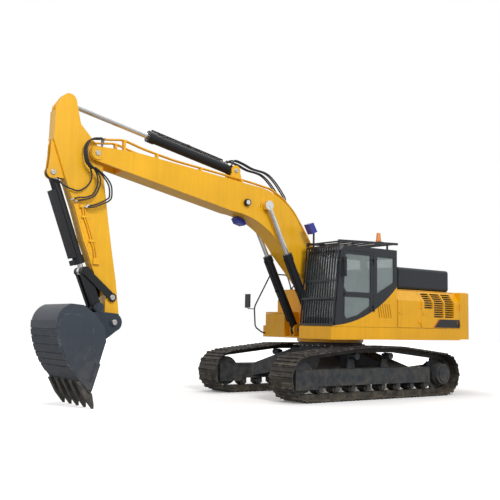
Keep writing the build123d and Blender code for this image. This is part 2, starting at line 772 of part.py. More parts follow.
# thicker plate round the edge of each side, and the cutter behind the lip
with BuildSketch() as side_plate:
    with BuildLine():
        Polyline((6431, 1624), (6293, 1576), (6153, 1477), (6081, 1341), (6096, 1222), (6161, 1001),
                 (6292, 749), (6373, 600), (6560, 880), (6660, 1150), (6690, 1400), (6620, 1590),
                 (6431, 1624))
    make_face()
with BuildSketch() as side_cutter:
    Polygon((6112, 304), (6168, 350), (6040, 800), (5965, 764), align=None)
# wear strips across the shell: height of the upper and of the lower edge
wear_strips = ((1498, 1362), (1338, 1236), (1212, 1095), (1071, 954), (930, 838), (814, 730),
               (706, 580))



def shell_x(z):
    """Where the curved back of the bucket lies at a height."""
    (x1, z1), (x2, z2), (x3, z3) = lip_rear, bowl_low, bowl_rear
    if z > bowl_rear[1]:
        (x1, z1), (x2, z2), (x3, z3) = bowl_rear, bowl_high, bowl_top
    d = 2 * (x1 * (z2 - z3) + x2 * (z3 - z1) + x3 * (z1 - z2))
    cx = ((x1 * x1 + z1 * z1) * (z2 - z3) + (x2 * x2 + z2 * z2) * (z3 - z1)
          + (x3 * x3 + z3 * z3) * (z1 - z2)) / d
    cz = ((x1 * x1 + z1 * z1) * (x3 - x2) + (x2 * x2 + z2 * z2) * (x1 - x3)
          + (x3 * x3 + z3 * z3) * (x2 - x1)) / d
    return cx + (hypot(x1 - cx, z1 - cz) ** 2 - (z - cz) ** 2) ** 0.5


strips = []
for high, low in wear_strips:
    with BuildSketch() as strip_outline:
        Polygon((shell_x(high) - 10, high), (shell_x(high) + 12, high),
                (shell_x(low) + 12, low), (shell_x(low) - 10, low), align=None)
    strips.append(strip_outline.sketch)

with BuildPart() as bucket:
    add(between_sides(bucket_outline.sketch, 0))
    add(between_sides(side_plate.sketch, 8))
    add(between_sides(side_cutter.sketch, 25))
    for strip in strips:
        add(between_sides(strip, 8))
    # the two ears, with the bosses of both pins
    for sign in (-1, 1):
        with BuildSketch(side(sign * (bucket_ear_in + ear_thickness / 2))):
            Polygon((5390, 1633), (5669, 1662), (5843, 1655), (6090, 1640), (6180, 1590), (5990, 1380),
                    (5950, 1150), (5880, 1080), (5700, 1120), (5430, 1325), align=None)
            with Locations(bucket_pin):
                Circle(165)
            with Locations(bucket_link_pin):
                Circle(92)
        extrude(amount=ear_thickness / 2, both=True)
        for centre, radius in ((bucket_pin, 80), (bucket_link_pin, 72)):
            with BuildSketch(side(sign * (bucket_ear_in + ear_thickness - 1))):
                with Locations(centre):
                    Circle(radius)
            extrude(amount=-sign * 16)
    add(between_sides(bowl_outline.sketch, -bucket_wall), mode=Mode.SUBTRACT)
    with BuildSketch(side(0)):
        with Locations(bucket_pin):
            Circle(pin_radius + pin_fit)
    extrude(amount=lip_half_width, both=True, mode=Mode.SUBTRACT)
save(bucket.part, "bucket")

tooth_count = 5
tooth_root = 60.0                        # half widths of a tooth
tooth_tip = 22.0
lip_x = (lip_rear[0] - lip_end[0]) / span(lip_end, lip_rear)
lip_z = (lip_rear[1] - lip_end[1]) / span(lip_end, lip_rear)
# along the lip from its edge, and out of the shell
tooth_profile = ((-face_fit, -34), (-face_fit, face_fit), (283, face_fit), (287, 41), (-13, 102),
                 (-252, 111), (-271, 88), (-206, 41), (-40, -34))
with BuildPart() as bucket_teeth:
    for i in range(tooth_count):
        y = -620 + 1240 * i / (tooth_count - 1)
        with BuildPart(mode=Mode.PRIVATE) as tooth:
            with BuildSketch(side(y)):
                Polygon(*[(lip_end[0] + s * lip_x + n * lip_z, lip_end[1] + s * lip_z - n * lip_x)
                          for s, n in tooth_profile], align=None)
            extrude(amount=tooth_root, both=True)
            for sign in (-1, 1):
                split(bisect_by=Plane(origin=(6030, y + sign * tooth_tip, 0),
                                      z_dir=(0, sign, -(tooth_root - tooth_tip) / 250)),
                      keep=Keep.BOTTOM)
        add(tooth.part)
save(bucket_teeth.part, "bucket_teeth")


# ================================================================ cylinders
def barrel(foot, eye, y, radius, bore, length, half):
    """Tube with an eye at its foot and a gland head at its mouth, bored for the rod."""
    start = 138
    neck = min(radius, half)
    with BuildPart() as tube:
        with BuildSketch(side(y)):
            with Locations(foot):
                Circle(105)
        extrude(amount=half, both=True)
        with BuildSketch(axis_plane(foot, eye, y)):
            Rectangle(2 * neck, 2 * radius - 20)
        extrude(amount=start + 5)
        with BuildSketch(axis_plane(foot, eye, y).offset(start)):
            Circle(radius)
        extrude(amount=length - start)
        with BuildSketch(axis_plane(foot, eye, y).offset(length - 150)):
            Circle(radius + 16)
        extrude(amount=150)
        with BuildSketch(axis_plane(foot, eye, y).offset(start + 60)):
            Circle(bore + pin_fit)
        extrude(amount=length, mode=Mode.SUBTRACT)
        with BuildSketch(side(y)):
            with Locations(foot):
                Circle(pin_radius + pin_fit)
        extrude(amount=half + 60, both=True, mode=Mode.SUBTRACT)
    return tube.part


def rod(foot, eye, y, radius, length, half, eye_radius):
    """Rod from its eye down into the barrel."""
    with BuildPart() as bar:
        with BuildSketch(axis_plane(eye, foot, y)):
            Circle(radius)
        extrude(amount=length)
        with BuildSketch(side(y)):
            with Locations(eye):
                Circle(eye_radius)
        extrude(amount=half, both=True)
    return bar.part


def beside(foot, eye, distance, out):
    """Point at a distance along a cylinder and out to the left of its axis, seen from +Y."""
    length = span(foot, eye)
    ux, uz = (eye[0] - foot[0]) / length, (eye[1] - foot[1]) / length
    return (foot[0] + ux * distance - uz * out, foot[1] + uz * distance + ux * out)


def oil_line(foot, eye, y, radius, side_out, start, end):
    """Steel pipe along a barrel on two clamps, turned down into the gland."""
    with BuildPart() as line:
        out = radius + 38
        for low, high, near, far in (
                (start, end, out - 11, out + 11),
                (end - 22, end, radius - 4, out + 11),
                (start, start + 22, radius - 4, out + 11),
                ((start + end) / 2 - 30, (start + end) / 2 + 30, radius - 4, out + 18)):
            with BuildSketch(side(y)):
                Polygon(*[beside(foot, eye, a, side_out * b) for a, b in
                          ((low, near), (high, near), (high, far), (low, far))], align=None)
            extrude(amount=11, both=True)
    return line.part


boom_rod_length = 1690.0
with BuildPart() as boom_barrels:
    for sign in (-1, 1):
        add(barrel(boom_cylinder_foot, boom_cylinder_eye, sign * boom_cylinder_y, 84, 50, 1800,
                   cylinder_eye_half))
        add(oil_line(boom_cylinder_foot, boom_cylinder_eye, sign * boom_cylinder_y, 84, -1, 260, 1740))
save(boom_barrels.part, "boom_cylinder_barrels")
with BuildPart() as boom_rods:
    for sign in (-1, 1):
        add(rod(boom_cylinder_foot, boom_cylinder_eye, sign * boom_cylinder_y, 50, boom_rod_length,
                cylinder_eye_half, 100))
save(boom_rods.part, "boom_cylinder_rods")

with BuildPart() as arm_barrel:
    add(barrel(arm_cylinder_foot, arm_cylinder_eye, 0, 100, 55, 2080, eye_half))
    for y in (-40, 40):
        add(oil_line(arm_cylinder_foot, arm_cylinder_eye, y, 92, 1, 330, 2000 + y))
save(arm_barrel.part, "arm_cylinder_barrel")
save(rod(arm_cylinder_foot, arm_cylinder_eye, 0, 55, 1970, eye_half, 105), "arm_cylinder_rod")

# stone guard over the front of the bucket cylinder
guard_start = 300.0
guard_end = 1560.0
with BuildPart() as bucket_barrel:
    add(barrel(bucket_cylinder_foot, link_pin, 0, bucket_barrel_radius, 48, 1700, bucket_eye_half))
    for low, high, near, far, half in (
            (guard_start, guard_end, 134, 144, 100),
            (guard_start + 100, guard_start + 180, bucket_barrel_radius - 4, 136, 40),
            (guard_end - 180, guard_end - 100, bucket_barrel_radius - 4, 136, 40),
            (1600, 1690, bucket_barrel_radius - 4, 168, 45)):
        with BuildSketch(side(0)):
            Polygon(*[beside(bucket_cylinder_foot, link_pin, a, b) for a, b in
                      ((low, near), (high, near), (high, far), (low, far))], align=None)
        extrude(amount=half, both=True)
    for sign in (-1, 1):
        with BuildSketch(side(sign * 96)):
            Polygon(*[beside(bucket_cylinder_foot, link_pin, a, b) for a, b in
                      ((guard_start, 135), (guard_start, 60), (guard_end, 60), (guard_end, 135))],
                    align=None)
        extrude(amount=4, both=True)
save(bucket_barrel.part, "bucket_cylinder_barrel")
save(rod(bucket_cylinder_foot, link_pin, 0, 48, 1315, bucket_eye_half - 2, 85), "bucket_cylinder_rod")

# ================================================================ counterweight
counterweight_low = 1240.0
counterweight_top = 2330.0
lug_y = 700.0
lug_centre = (-3020.0, counterweight_top + 75.0)
lug_hole = 40.0
lug_thickness = 40.0
side_end = -(tail_radius ** 2 - house_half_width ** 2) ** 0.5
with BuildPart() as counterweight:
    with BuildSketch(Plane.XY.offset(counterweight_low)) as plan:
        with BuildLine():
            Line((side_end, house_half_width), (counterweight_front - face_fit, house_half_width))
            Line((counterweight_front - face_fit, house_half_width),
                 (counterweight_front - face_fit, -house_half_width))
            Line((counterweight_front - face_fit, -house_half_width), (side_end, -house_half_width))
            ThreePointArc((side_end, -house_half_width), (-tail_radius, 0), (side_end, house_half_width))
        make_face()
        fillet(plan.vertices().group_by(Axis.X)[0], 200)
    extrude(amount=counterweight_top - counterweight_low)
    chamfer(counterweight.faces().sort_by(Axis.Z)[-1].edges(), 25)
    for sign in (-1, 1):
        with BuildSketch(side(sign * lug_y)):
            with Locations(lug_centre):
                Circle(80)
            with Locations((lug_centre[0], counterweight_top + 25)):
                Rectangle(200, 60)
            with Locations(lug_centre):
                Circle(lug_hole, mode=Mode.SUBTRACT)
        extrude(amount=lug_thickness / 2, both=True)
save(counterweight.part, "counterweight")

# ================================================================ body behind the cab
hood_low = 2345.0
hood_top = 2850.0
hood_front = -1050.0
hood_left = 1100.0
hood_right = -900.0
hood_hinge = (-2762.0, 2352.0)
hood_hinge_ys = (-500.0, 700.0)
across = Plane.YZ          # local x is +Y, local y is +Z, normal forward

deck_top = deck_low + 30
beam_top = 1480.0
door_low = skirt_top + 8
shoulder_top_y = house_half_width - shoulder_inset      # where the folded shoulder meets the roof
door_profile = ((house_half_width, door_low), (house_half_width, shoulder_height),
                (shoulder_top_y + 18.8, 2306.5), (shoulder_top_y - 12.4, 2281.5),
                (house_half_width - panel_thickness, 2068),
                (house_half_width - panel_thickness, door_low))
knuckle_radius = 11.0
knuckle_length = 60.0
# name, side of the machine, front edge, rear edge, hinge
service_doors = (
    ("service_door_left_a", 1, -662.0, -1398.0, -1393.0),
    ("service_door_left_b", 1, -1438.0, -2735.0, -2730.0),
    ("pump_door_right", -1, -1438.0, -2735.0, -2730.0),
)
body_section = ((-house_half_width, skirt_top + face_fit), (-house_half_width, shoulder_height),
                (-shoulder_top_y, body_top), (shoulder_top_y, body_top), (house_half_width, shoulder_height),
                (house_half_width, skirt_top + face_fit))
left_section = ((300, skirt_top + face_fit), (300, body_top)) + body_section[3:]

with BuildPart() as body_covers:
    # roof plates with the folded shoulder, in front of the hood and beside it
    for x_front, length, outline in (
            (bulkhead_front, bulkhead_front - hood_front,
             ((-560, body_top), (shoulder_top_y, body_top), (shoulder_top_y + 8, 2320),
              (shoulder_top_y - 14, 2300), (-560, 2300))),
            (hood_front, hood_front - counterweight_front - face_fit,
             ((hood_left - 40, body_top), (shoulder_top_y, body_top), (shoulder_top_y + 8, 2320),
              (shoulder_top_y - 14, 2300), (hood_left - 40, 2300))),
            (bulkhead_mid, bulkhead_mid - counterweight_front - face_fit,
             ((hood_right + 40, body_top), (-shoulder_top_y, body_top), (-shoulder_top_y - 8, 2320),
              (14 - shoulder_top_y, 2300), (hood_right + 40, 2300)))):
        with BuildSketch(across.offset(x_front)):
            Polygon(*outline, align=None)
        extrude(amount=-length)
    # bulkheads behind the cab, before the engine and against the counterweight
    for x_front, thickness, outline in (
            (bulkhead_front + 10, 16.0, left_section),
            (bulkhead_mid + 6, 28.0, body_section),
            (counterweight_front + 9, 9.0 - face_fit, body_section)):
        with BuildSketch(across.offset(x_front)):
            Polygon(*outline, align=None)
        extrude(amount=-thickness)
    # fixed hinge knuckles of the doors
    for name, sign, front, rear, hinge in service_doors:
        for z in (1620 - knuckle_length - face_fit, 1960 + knuckle_length + face_fit):
            with Locations((hinge, sign * side_hinge_y, z)):
                Cylinder(knuckle_radius, 60)
            with Locations((hinge - 12.5, sign * (side_hinge_y - 13), z)):
                Box(13, 26, 60)
    # fixed hinge knuckles of the hood, on the rear bulkhead
    for y in hood_hinge_ys:
        with BuildSketch(side(y)):
            with Locations(hood_hinge):
                Circle(12)
            Polygon((-2773, 2332), (-2749, 2332), (-2749, 2315), (-2742, 2315), (-2742, 2339),
                    (-2755, 2339), (-2755, 2352), (-2773, 2352), align=None)
        extrude(amount=knuckle_length)
save(body_covers.part, "body_covers")

# engine on the beams, coolers beside it and the main valve behind the boom foot
with BuildPart() as power_pack:
    with Locations((-2060, -100, beam_top + face_fit + 400)):
        Box(1000, 1300, 800)
    with Locations((-2080, 1080, deck_top + face_fit + 490)):
        Box(1100, 200, 980)
    with Locations((-390, 0, deck_top + face_fit + 325)):
        Box(480, 2 * bracket_in - 10, 650)
save(power_pack.part, "power_pack")

for name, sign, front, rear, hinge in service_doors:
    with BuildPart() as door:
        with BuildSketch(across.offset(front)):
            Polygon(*[(sign * y, z) for y, z in door_profile], align=None)
        extrude(amount=rear - front)
        if name == "service_door_left_b":
            # grille: three columns cut through the side and the shoulder, with slats behind
            for x_front, x_rear, z_low, z_high in (
                    (-1510, -1790, 1925, 2265), (-1835, -2165, 1730, 2265), (-2210, -2530, 1730, 2265)):
                with BuildSketch(side(house_half_width + 50)):
                    with Locations(((x_front + x_rear) / 2, (z_low + z_high) / 2)):
                        Rectangle(x_front - x_rear, z_high - z_low)
                extrude(amount=400, mode=Mode.SUBTRACT)
            for step in range(10):
                z = 1770 + 50 * step
                if z < 2070:
                    y = house_half_width - 22
                else:
                    y = house_half_width - 30 - (z - shoulder_height) * 0.8
                x_front = -1500 if z > 1935 else -1825
                with Locations(((x_front - 2540) / 2, y, z)):
                    Box(x_front + 2540, 20, 14, rotation=(35, 0, 0))
        # hinge knuckles and their leaves
        for z in (1620, 1960):
            with Locations((hinge, sign * side_hinge_y, z)):
                Cylinder(knuckle_radius, 60)
            with Locations((hinge + 40, sign * (house_half_width + 6), z)):
                Box(100, 12, 60)
            with Locations((hinge, sign * (side_hinge_y - 9), z)):
                Box(2 * knuckle_radius, 18, 60)
        # latch handle
        with Locations((front - 70, sign * (house_half_width + 5), 1800)):
            Box(90, 16, 40)
    save(door.part, name)

with BuildPart() as hood:
    with BuildSketch(across.offset(hood_front)) as hood_section:
        with Locations(((hood_left + hood_right) / 2, (hood_low + hood_top) / 2)):
            Rectangle(hood_left - hood_right, hood_top - hood_low)
        fillet(hood_section.vertices().group_by(Axis.Z)[-1], 70)
    extrude(amount=counterweight_front - hood_front)
    with Locations(((hood_front + counterweight_front) / 2, (hood_left + hood_right) / 2,
                    (hood_low + hood_top) / 2 - 30)):
        Box(hood_front - counterweight_front - 60, hood_left - hood_right - 60,
            hood_top - hood_low, mode=Mode.SUBTRACT)
    for y in hood_hinge_ys:
        with BuildSketch(side(y + face_fit)):
            with Locations(hood_hinge):
                Circle(12)
            Polygon((-2762, 2346), (-2735, 2346), (-2735, 2362), (-2762, 2362), align=None)
        extrude(amount=-knuckle_length)
save(hood.part, "engine_hood")

# ================================================================ right side: tanks and toolbox
tank_inner_y = -570.0
tank_side_y = -(house_half_width - 2)
tank_outline = ((tank_inner_y, deck_low + 30 + face_fit), (tank_inner_y, body_top),
                (-shoulder_top_y, body_top), (tank_side_y, shoulder_height), (tank_side_y, skirt_top + 5),
                (85 - house_half_width, skirt_top + 5), (85 - house_half_width, deck_low + 30 + face_fit))
for name, front, rear in (("fuel_tank", 378.0, -600.0), ("hydraulic_tank", -605.0, -1393.0)):
    with BuildPart() as tank:
        with BuildSketch(across.offset(front)):
            Polygon(*tank_outline, align=None)
        extrude(amount=rear - front)
        with Locations((front - 230, -800, body_top + 25)):
            Cylinder(70, 60)
    save(tank.part, name)

toolbox_front = 800.0
toolbox_rear = 385.0
toolbox_top = 1755.0
lid_thickness = 35.0
lid_hinge = (397.0, 1775.0)
lid_hinge_ys = (-1200.0, -820.0)
with BuildPart() as toolbox:
    with Locations(((toolbox_front + toolbox_rear) / 2, -1010, (deck_low + 30 + toolbox_top) / 2 + face_fit)):
        Box(toolbox_front - toolbox_rear, 700, toolbox_top - deck_low - 30)
        Box(toolbox_front - toolbox_rear - 50, 650, toolbox_top - deck_low - 80,
            mode=Mode.SUBTRACT)
    with Locations(((toolbox_front + toolbox_rear) / 2, -1010, toolbox_top - 20)):
        Box(toolbox_front - toolbox_rear - 50, 650, 80, mode=Mode.SUBTRACT)
    for y in lid_hinge_ys:
        with BuildSketch(side(y)):
            with Locations(lid_hinge):
                Circle(10)
            Polygon((388, 1745), (406, 1745), (406, 1775), (388, 1775), align=None)
        extrude(amount=knuckle_length)
save(toolbox.part, "toolbox")

with BuildPart() as toolbox_lid:
    with Locations(((toolbox_front + toolbox_rear + 30) / 2, -1010, toolbox_top + 5 + lid_thickness / 2)):
        Box(toolbox_front - toolbox_rear - 30, 700, lid_thickness)
    for y in lid_hinge_ys:
        with BuildSketch(side(y + face_fit)):
            with Locations(lid_hinge):
                Circle(10)
            Polygon((397, 1767), (430, 1767), (430, 1783), (397, 1783), align=None)
        extrude(amount=-knuckle_length)
save(toolbox_lid.part, "toolbox_lid")

# ================================================================ cab
cab_outline = ((1198, cab_floor), (1040, 3060), (940, cab_top), (cab_rear, cab_top), (cab_rear, cab_floor))
cab_room = ((1148, cab_floor + 40), (995, 3045), (925, cab_top - 40), (cab_rear + 45, cab_top - 40),
            (cab_rear + 45, cab_floor + 40))
cab_outer_y = house_half_width
door_front = 970.0
door_rear = 105.0
door_top = 3050.0
door_gap = 6.0
sill_start = (1262.0, 1500.0)
sill_bend = (350.0, 1710.0)
sill_end = (-620.0, 2360.0)

with BuildSketch() as sill_area:
    with BuildLine():
        ThreePointArc(sill_start, sill_bend, sill_end)
        Line(sill_end, (-620, cab_floor - 15))
        Line((-620, cab_floor - 15), (sill_start[0], cab_floor - 15))
        Line((sill_start[0], cab_floor - 15), sill_start)
    make_face()
with BuildSketch() as door_area:
    with BuildLine():
        Polyline((door_front, door_top), (door_rear, door_top), (door_rear, 1560), (door_front, 1560), close=True)
    make_face()
    add(sill_area.sketch, mode=Mode.SUBTRACT)
door_hole = offset(door_area.sketch, amount=door_gap)

glass_thickness = 6.0
# left wall: upper and lower door panes, rear quarter pane
door_panes = (((190, 2200), (880, 2200), (955, 2290), (900, 2990), (190, 2990)),
              ((200, 1920), (560, 1720), (880, 1650), (930, 1720), (930, 2100), (200, 2100)))
quarter_pane = ((-10, 2190), (-10, 2980), (-520, 2980), (-520, 2460))
right_pane = ((960, 2080), (880, 2990), (-480, 2990), (-480, 2080))
screen_low = ((560, 1640), (1350, 1980))
wall_mid_y = cab_outer_y - cab_wall / 2
front_lean = (1198 - 1040, 0, cab_floor - 3060)
front_plane = Plane(origin=(1119, (cab_inner_y + cab_outer_y) / 2, 2280), x_dir=(0, 1, 0),
                    z_dir=(1560, 0, 158))
front_panes = ((0, 270, 850, 940), (0, -440, 850, 350))     # across, up, width, height
rear_pane = (952, 2700, 780, 560)                            # Y, Z, width, height

with BuildPart() as cab:
    with BuildSketch(side(cab_outer_y)):
        Polygon(*cab_outline, align=None)
    extrude(amount=cab_outer_y - cab_inner_y)
    with BuildSketch(side(cab_outer_y - cab_wall)):
        Polygon(*cab_room, align=None)
    extrude(amount=cab_outer_y - cab_inner_y - 2 * cab_wall, mode=Mode.SUBTRACT)
    # door opening and the seat of the sill panel
    with BuildSketch(side(cab_outer_y + 5)):
        add(door_hole)
    extrude(amount=cab_wall + 10, mode=Mode.SUBTRACT)
    with BuildSketch(side(cab_outer_y + 5)):
        add(sill_area.sketch)
    extrude(amount=cab_wall + 5 + face_fit, mode=Mode.SUBTRACT)
    # panes
    with BuildSketch(side(cab_outer_y + 5)):
        Polygon(*quarter_pane, align=None)
    extrude(amount=cab_wall + 10, mode=Mode.SUBTRACT)
    with BuildSketch(side(cab_inner_y - 5)):
        Polygon(*right_pane, align=None)
    extrude(amount=-cab_wall - 10, mode=Mode.SUBTRACT)
    for across_y, up, width, height in front_panes:
        with BuildSketch(front_plane):
            with Locations((across_y, up)):
                Rectangle(width, height)
        extrude(amount=60, both=True, mode=Mode.SUBTRACT)
    with BuildSketch(across.offset(cab_rear - 5)):
        with Locations((rear_pane[0], rear_pane[1])):
            Rectangle(rear_pane[2], rear_pane[3])
    extrude(amount=60, mode=Mode.SUBTRACT)
    # door hinge knuckles
    for z in (1840 + knuckle_length + face_fit, 2830 + knuckle_length + face_fit):
        with Locations((door_rear - 5, side_hinge_y, z)):
            Cylinder(12, 60)
            Box(18, 25, 60, align=(Align.MAX, Align.MAX, Align.CENTER))
        with Locations((door_rear - 45, cab_outer_y + 5, z)):
            Box(80, 12, 60)
save(cab.part, "cab_shell")

with BuildPart() as cab_glass:
    with BuildSketch(side(wall_mid_y)):
        Polygon(*quarter_pane, align=None)
        offset(amount=-face_fit, mode=Mode.REPLACE)
    extrude(amount=glass_thickness / 2, both=True)
    with BuildSketch(side(cab_inner_y + cab_wall / 2)):
        Polygon(*right_pane, align=None)
        offset(amount=-face_fit, mode=Mode.REPLACE)
    extrude(amount=glass_thickness / 2, both=True)
    for across_y, up, width, height in front_panes:
        with BuildSketch(front_plane.offset(-20)):
            with Locations((across_y, up)):
                Rectangle(width - 2 * face_fit, height - 2 * face_fit)
        extrude(amount=glass_thickness / 2, both=True)
    with BuildSketch(across.offset(cab_rear + 22)):
        with Locations((rear_pane[0], rear_pane[1])):
            Rectangle(rear_pane[2] - 2 * face_fit, rear_pane[3] - 2 * face_fit)
    extrude(amount=glass_thickness / 2, both=True)
save(cab_glass.part, "cab_glass")

with BuildPart() as cab_door:
    with BuildSketch(side(cab_outer_y)):
        add(offset(door_area.sketch, amount=-0.5))
        for pane in door_panes:
            Polygon(*pane, align=None, mode=Mode.SUBTRACT)
    extrude(amount=cab_wall)
    for z in (1840, 2830):
        with Locations((door_rear - 5, side_hinge_y, z)):
            Cylinder(12, 60)
            Box(18, 17, 60, align=(Align.MIN, Align.MAX, Align.CENTER))
        with Locations((door_rear + 50, cab_outer_y + 7, z)):
            Box(90, 14, 60)
    with Locations((door_front - 60, cab_outer_y + 14, 2150)):
        Box(70, 28, 36)
save(cab_door.part, "cab_door")

with BuildPart() as door_glass:
    for pane in door_panes:
        with BuildSketch(side(wall_mid_y)):
            Polygon(*pane, align=None)
            offset(amount=-face_fit, mode=Mode.REPLACE)
        extrude(amount=glass_thickness / 2, both=True)
save(door_glass.part, "cab_door_glass")

with BuildPart() as side_panel:
    with BuildSketch(side(cab_outer_y)):
        add(offset(sill_area.sketch, amount=-face_fit))
        for step in range(6):
            with Locations((-60 - 70 * step, 1830)):
                Rectangle(22, 300, rotation=-12, mode=Mode.SUBTRACT)
    extrude(amount=panel_thickness)
save(side_panel.part, "cab_side_panel")

# guard of upright bars before the windscreen
guard_foot = (1300.0, 1500.0)
guard_head = (1130.0, 3160.0)
guard_length = span(guard_foot, guard_head)
guard_low_y = cab_inner_y + 8
guard_high_y = house_half_width + 30.0
guard_bars = 14
guard_plane = Plane(origin=(guard_foot[0], guard_low_y, guard_foot[1]), x_dir=(0, 1, 0),
                    z_dir=(guard_head[1] - guard_foot[1], 0, guard_foot[0] - guard_head[0]))
with BuildPart() as front_guard:
    width = guard_high_y - guard_low_y
    with BuildSketch(guard_plane):
        for up in (0, 540, 910, guard_length - 40):
            with Locations((width / 2, up + 20)):
                Rectangle(width, 40)
        for i in range(guard_bars):
            with Locations((8 + (width - 16) * i / (guard_bars - 1), guard_length / 2)):
                Rectangle(16, guard_length)
    extrude(amount=-30)
    # brackets back to the cab front
    for i in (1, guard_bars - 2):
        y = guard_low_y + 8 + (width - 16) * i / (guard_bars - 1)
        for z in (1560, 3020):
            x_guard = guard_foot[0] - (z - guard_foot[1]) * 170 / 1660 - 15
            x_cab = 1198 - (z - 30 - cab_floor) * 158 / 1560 + 2 * face_fit
            with Locations(((x_guard + x_cab) / 2, y, z)):
                Box(x_guard - x_cab, 16, 60)
save(front_guard.part, "front_guard")

roof_rear_z = cab_top + 150.0
beacon_x = -100.0
beacon_y = 1400.0
with BuildPart() as roof_guard:
    for y in (guard_low_y + 20, guard_high_y - 20):
        with BuildSketch(side(y)):
            Polygon((1085, cab_top + 10), (1140, cab_top + 15), (1120, cab_top + 100),
                    (cab_rear, roof_rear_z + 10), (cab_rear, roof_rear_z - 40), (1070, cab_top + 50),
                    align=None)
        extrude(amount=20, both=True)
        for x in (-330, 700):
            with Locations((x, y + (12 if y < 1000 else -24), cab_top + 60 + face_fit)):
                Box(40, 24, 120)
    for x, rise in ((1085, 65), (750, 76), (400, 92), (50, 108), (-300, 122), (-600, 136)):
        with Locations((x, (guard_low_y + guard_high_y) / 2, cab_top + rise)):
            Box(40, guard_high_y - guard_low_y - 40, 30)
    with Locations((beacon_x, beacon_y, roof_rear_z - 8)):
        Box(150, 150, 16)
save(roof_guard.part, "roof_guard")

with BuildPart() as seat:
    with Locations((130, 950, 1990)):
        Box(520, 500, 120)
    with BuildSketch(side(950)):
        Polygon((-10, 2040), (-125, 2040), (-250, 2700), (-140, 2720), align=None)
    extrude(amount=240, both=True)
save(seat.part, "operator_seat")

with BuildPart() as seat_stand:
    with Locations((130, 950, 1735)):
        Box(420, 420, 390 - 2 * face_fit)
    for y in (640, 1260):
        with Locations((200, y, 1790)):
            Box(620, 110, 500)
        with Locations((430, y, 2120)):
            Cylinder(16, 200)
    with Locations((330, 950, 1560)):
        Box(300, 600, 30)
save(seat_stand.part, "seat_stand")


with BuildPart() as handrails:
    add(tube(((800.4, -1390, 1310), (870, -1390, 1310), (1085, -1390, 1440), (1120, -1390, 1900),
              (850, -1390, 2360), (650, -1390, 2700), (150, -1390, 2700), (150, -1240, 2400),
              (150, -1240, body_top + face_fit)), 17, 45, 8))
    # rail over the tanks, on two posts
    add(tube(((150 - 40, -1240, body_top + face_fit), (110, -1240, 2440), (-1150, -1240, 2440),
              (-1150, -1240, body_top + face_fit)), 17, 60, 8))
save(handrails.part, "handrails")

with BuildPart() as mirrors:
    with Locations((1270, -1450, 2040)):
        Box(30, 180, 320)
    add(tube(((1117, -1407.4, 1860), (1117, -1450, 1860), (1262, -1450, 1860), (1262, -1450, 1910)), 10, 15, 6))
    with Locations((1060, 1560, 2700)):
        Box(30, 150, 400)
    add(tube(((1150, guard_high_y + face_fit, 2820), (1150, 1560, 2820), (1065, 1560, 2820)), 10, 15, 6))
save(mirrors.part, "mirrors")

# work lamp on a post at the front inner corner of the cab's roof
with BuildPart() as cab_lamp:
    with Locations((1010, 560, cab_top + 190)):
        Box(30, 30, 380 - 2 * face_fit)
    with BuildSketch(side(560)):
        Polygon((1090, 3690), (1225, 3640), (1110, 3440), (975, 3500), align=None)
    extrude(amount=80, both=True)
save(cab_lamp.part, "cab_lamp")

with BuildPart() as beacon:
    with BuildSketch(Plane.XY.offset(roof_rear_z + face_fit)):
        with Locations((beacon_x, beacon_y)):
            Circle(60)
    extrude(amount=40)
    with Locations((beacon_x, beacon_y, roof_rear_z + 40)):
        Cone(55, 42, 150, align=(Align.CENTER, Align.CENTER, Align.MIN))
save(beacon.part, "beacon")
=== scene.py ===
import math

import bmesh
import bpy
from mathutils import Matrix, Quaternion, Vector


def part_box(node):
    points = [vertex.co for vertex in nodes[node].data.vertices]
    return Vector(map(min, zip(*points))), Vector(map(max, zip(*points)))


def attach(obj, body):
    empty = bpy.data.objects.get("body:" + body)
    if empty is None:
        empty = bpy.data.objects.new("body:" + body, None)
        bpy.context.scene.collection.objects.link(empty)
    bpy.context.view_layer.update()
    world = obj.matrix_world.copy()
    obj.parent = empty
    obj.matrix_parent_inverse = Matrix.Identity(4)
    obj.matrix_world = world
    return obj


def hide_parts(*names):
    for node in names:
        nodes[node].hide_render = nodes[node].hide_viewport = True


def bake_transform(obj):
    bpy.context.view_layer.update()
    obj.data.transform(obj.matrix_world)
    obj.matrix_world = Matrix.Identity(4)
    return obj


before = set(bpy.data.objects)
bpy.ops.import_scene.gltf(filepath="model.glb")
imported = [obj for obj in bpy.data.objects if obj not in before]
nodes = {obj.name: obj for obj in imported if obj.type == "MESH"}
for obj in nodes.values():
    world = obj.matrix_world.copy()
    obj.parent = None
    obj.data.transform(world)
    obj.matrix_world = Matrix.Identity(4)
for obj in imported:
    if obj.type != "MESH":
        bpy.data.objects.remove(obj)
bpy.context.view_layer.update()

# ---------------------------------------------------------------- camera
# A standing viewer's camera off the front left corner of the machine, at the
# height of the tracks' top run and tilted slightly up.
camera_data = bpy.data.cameras.new("camera")
camera_data.sensor_width = 36.0
camera_data.lens = 54.23
camera_data.clip_end = 200.0
camera = bpy.data.objects.new("camera", camera_data)
bpy.context.scene.collection.objects.link(camera)
camera_heading, camera_tilt, camera_roll = math.radians(143.774), math.radians(-5.741), math.radians(1.087)
camera_back = Vector((math.sin(camera_heading) * math.cos(camera_tilt),
                      -math.cos(camera_heading) * math.cos(camera_tilt),
                      math.sin(camera_tilt)))
camera.rotation_mode = "QUATERNION"
camera.location = (11.633, 12.748, 1.465)
camera.rotation_quaternion = ((-camera_back).to_track_quat("-Z", "Y")
                              @ Quaternion((0.0, 0.0, 1.0), camera_roll))
bpy.context.scene.camera = camera


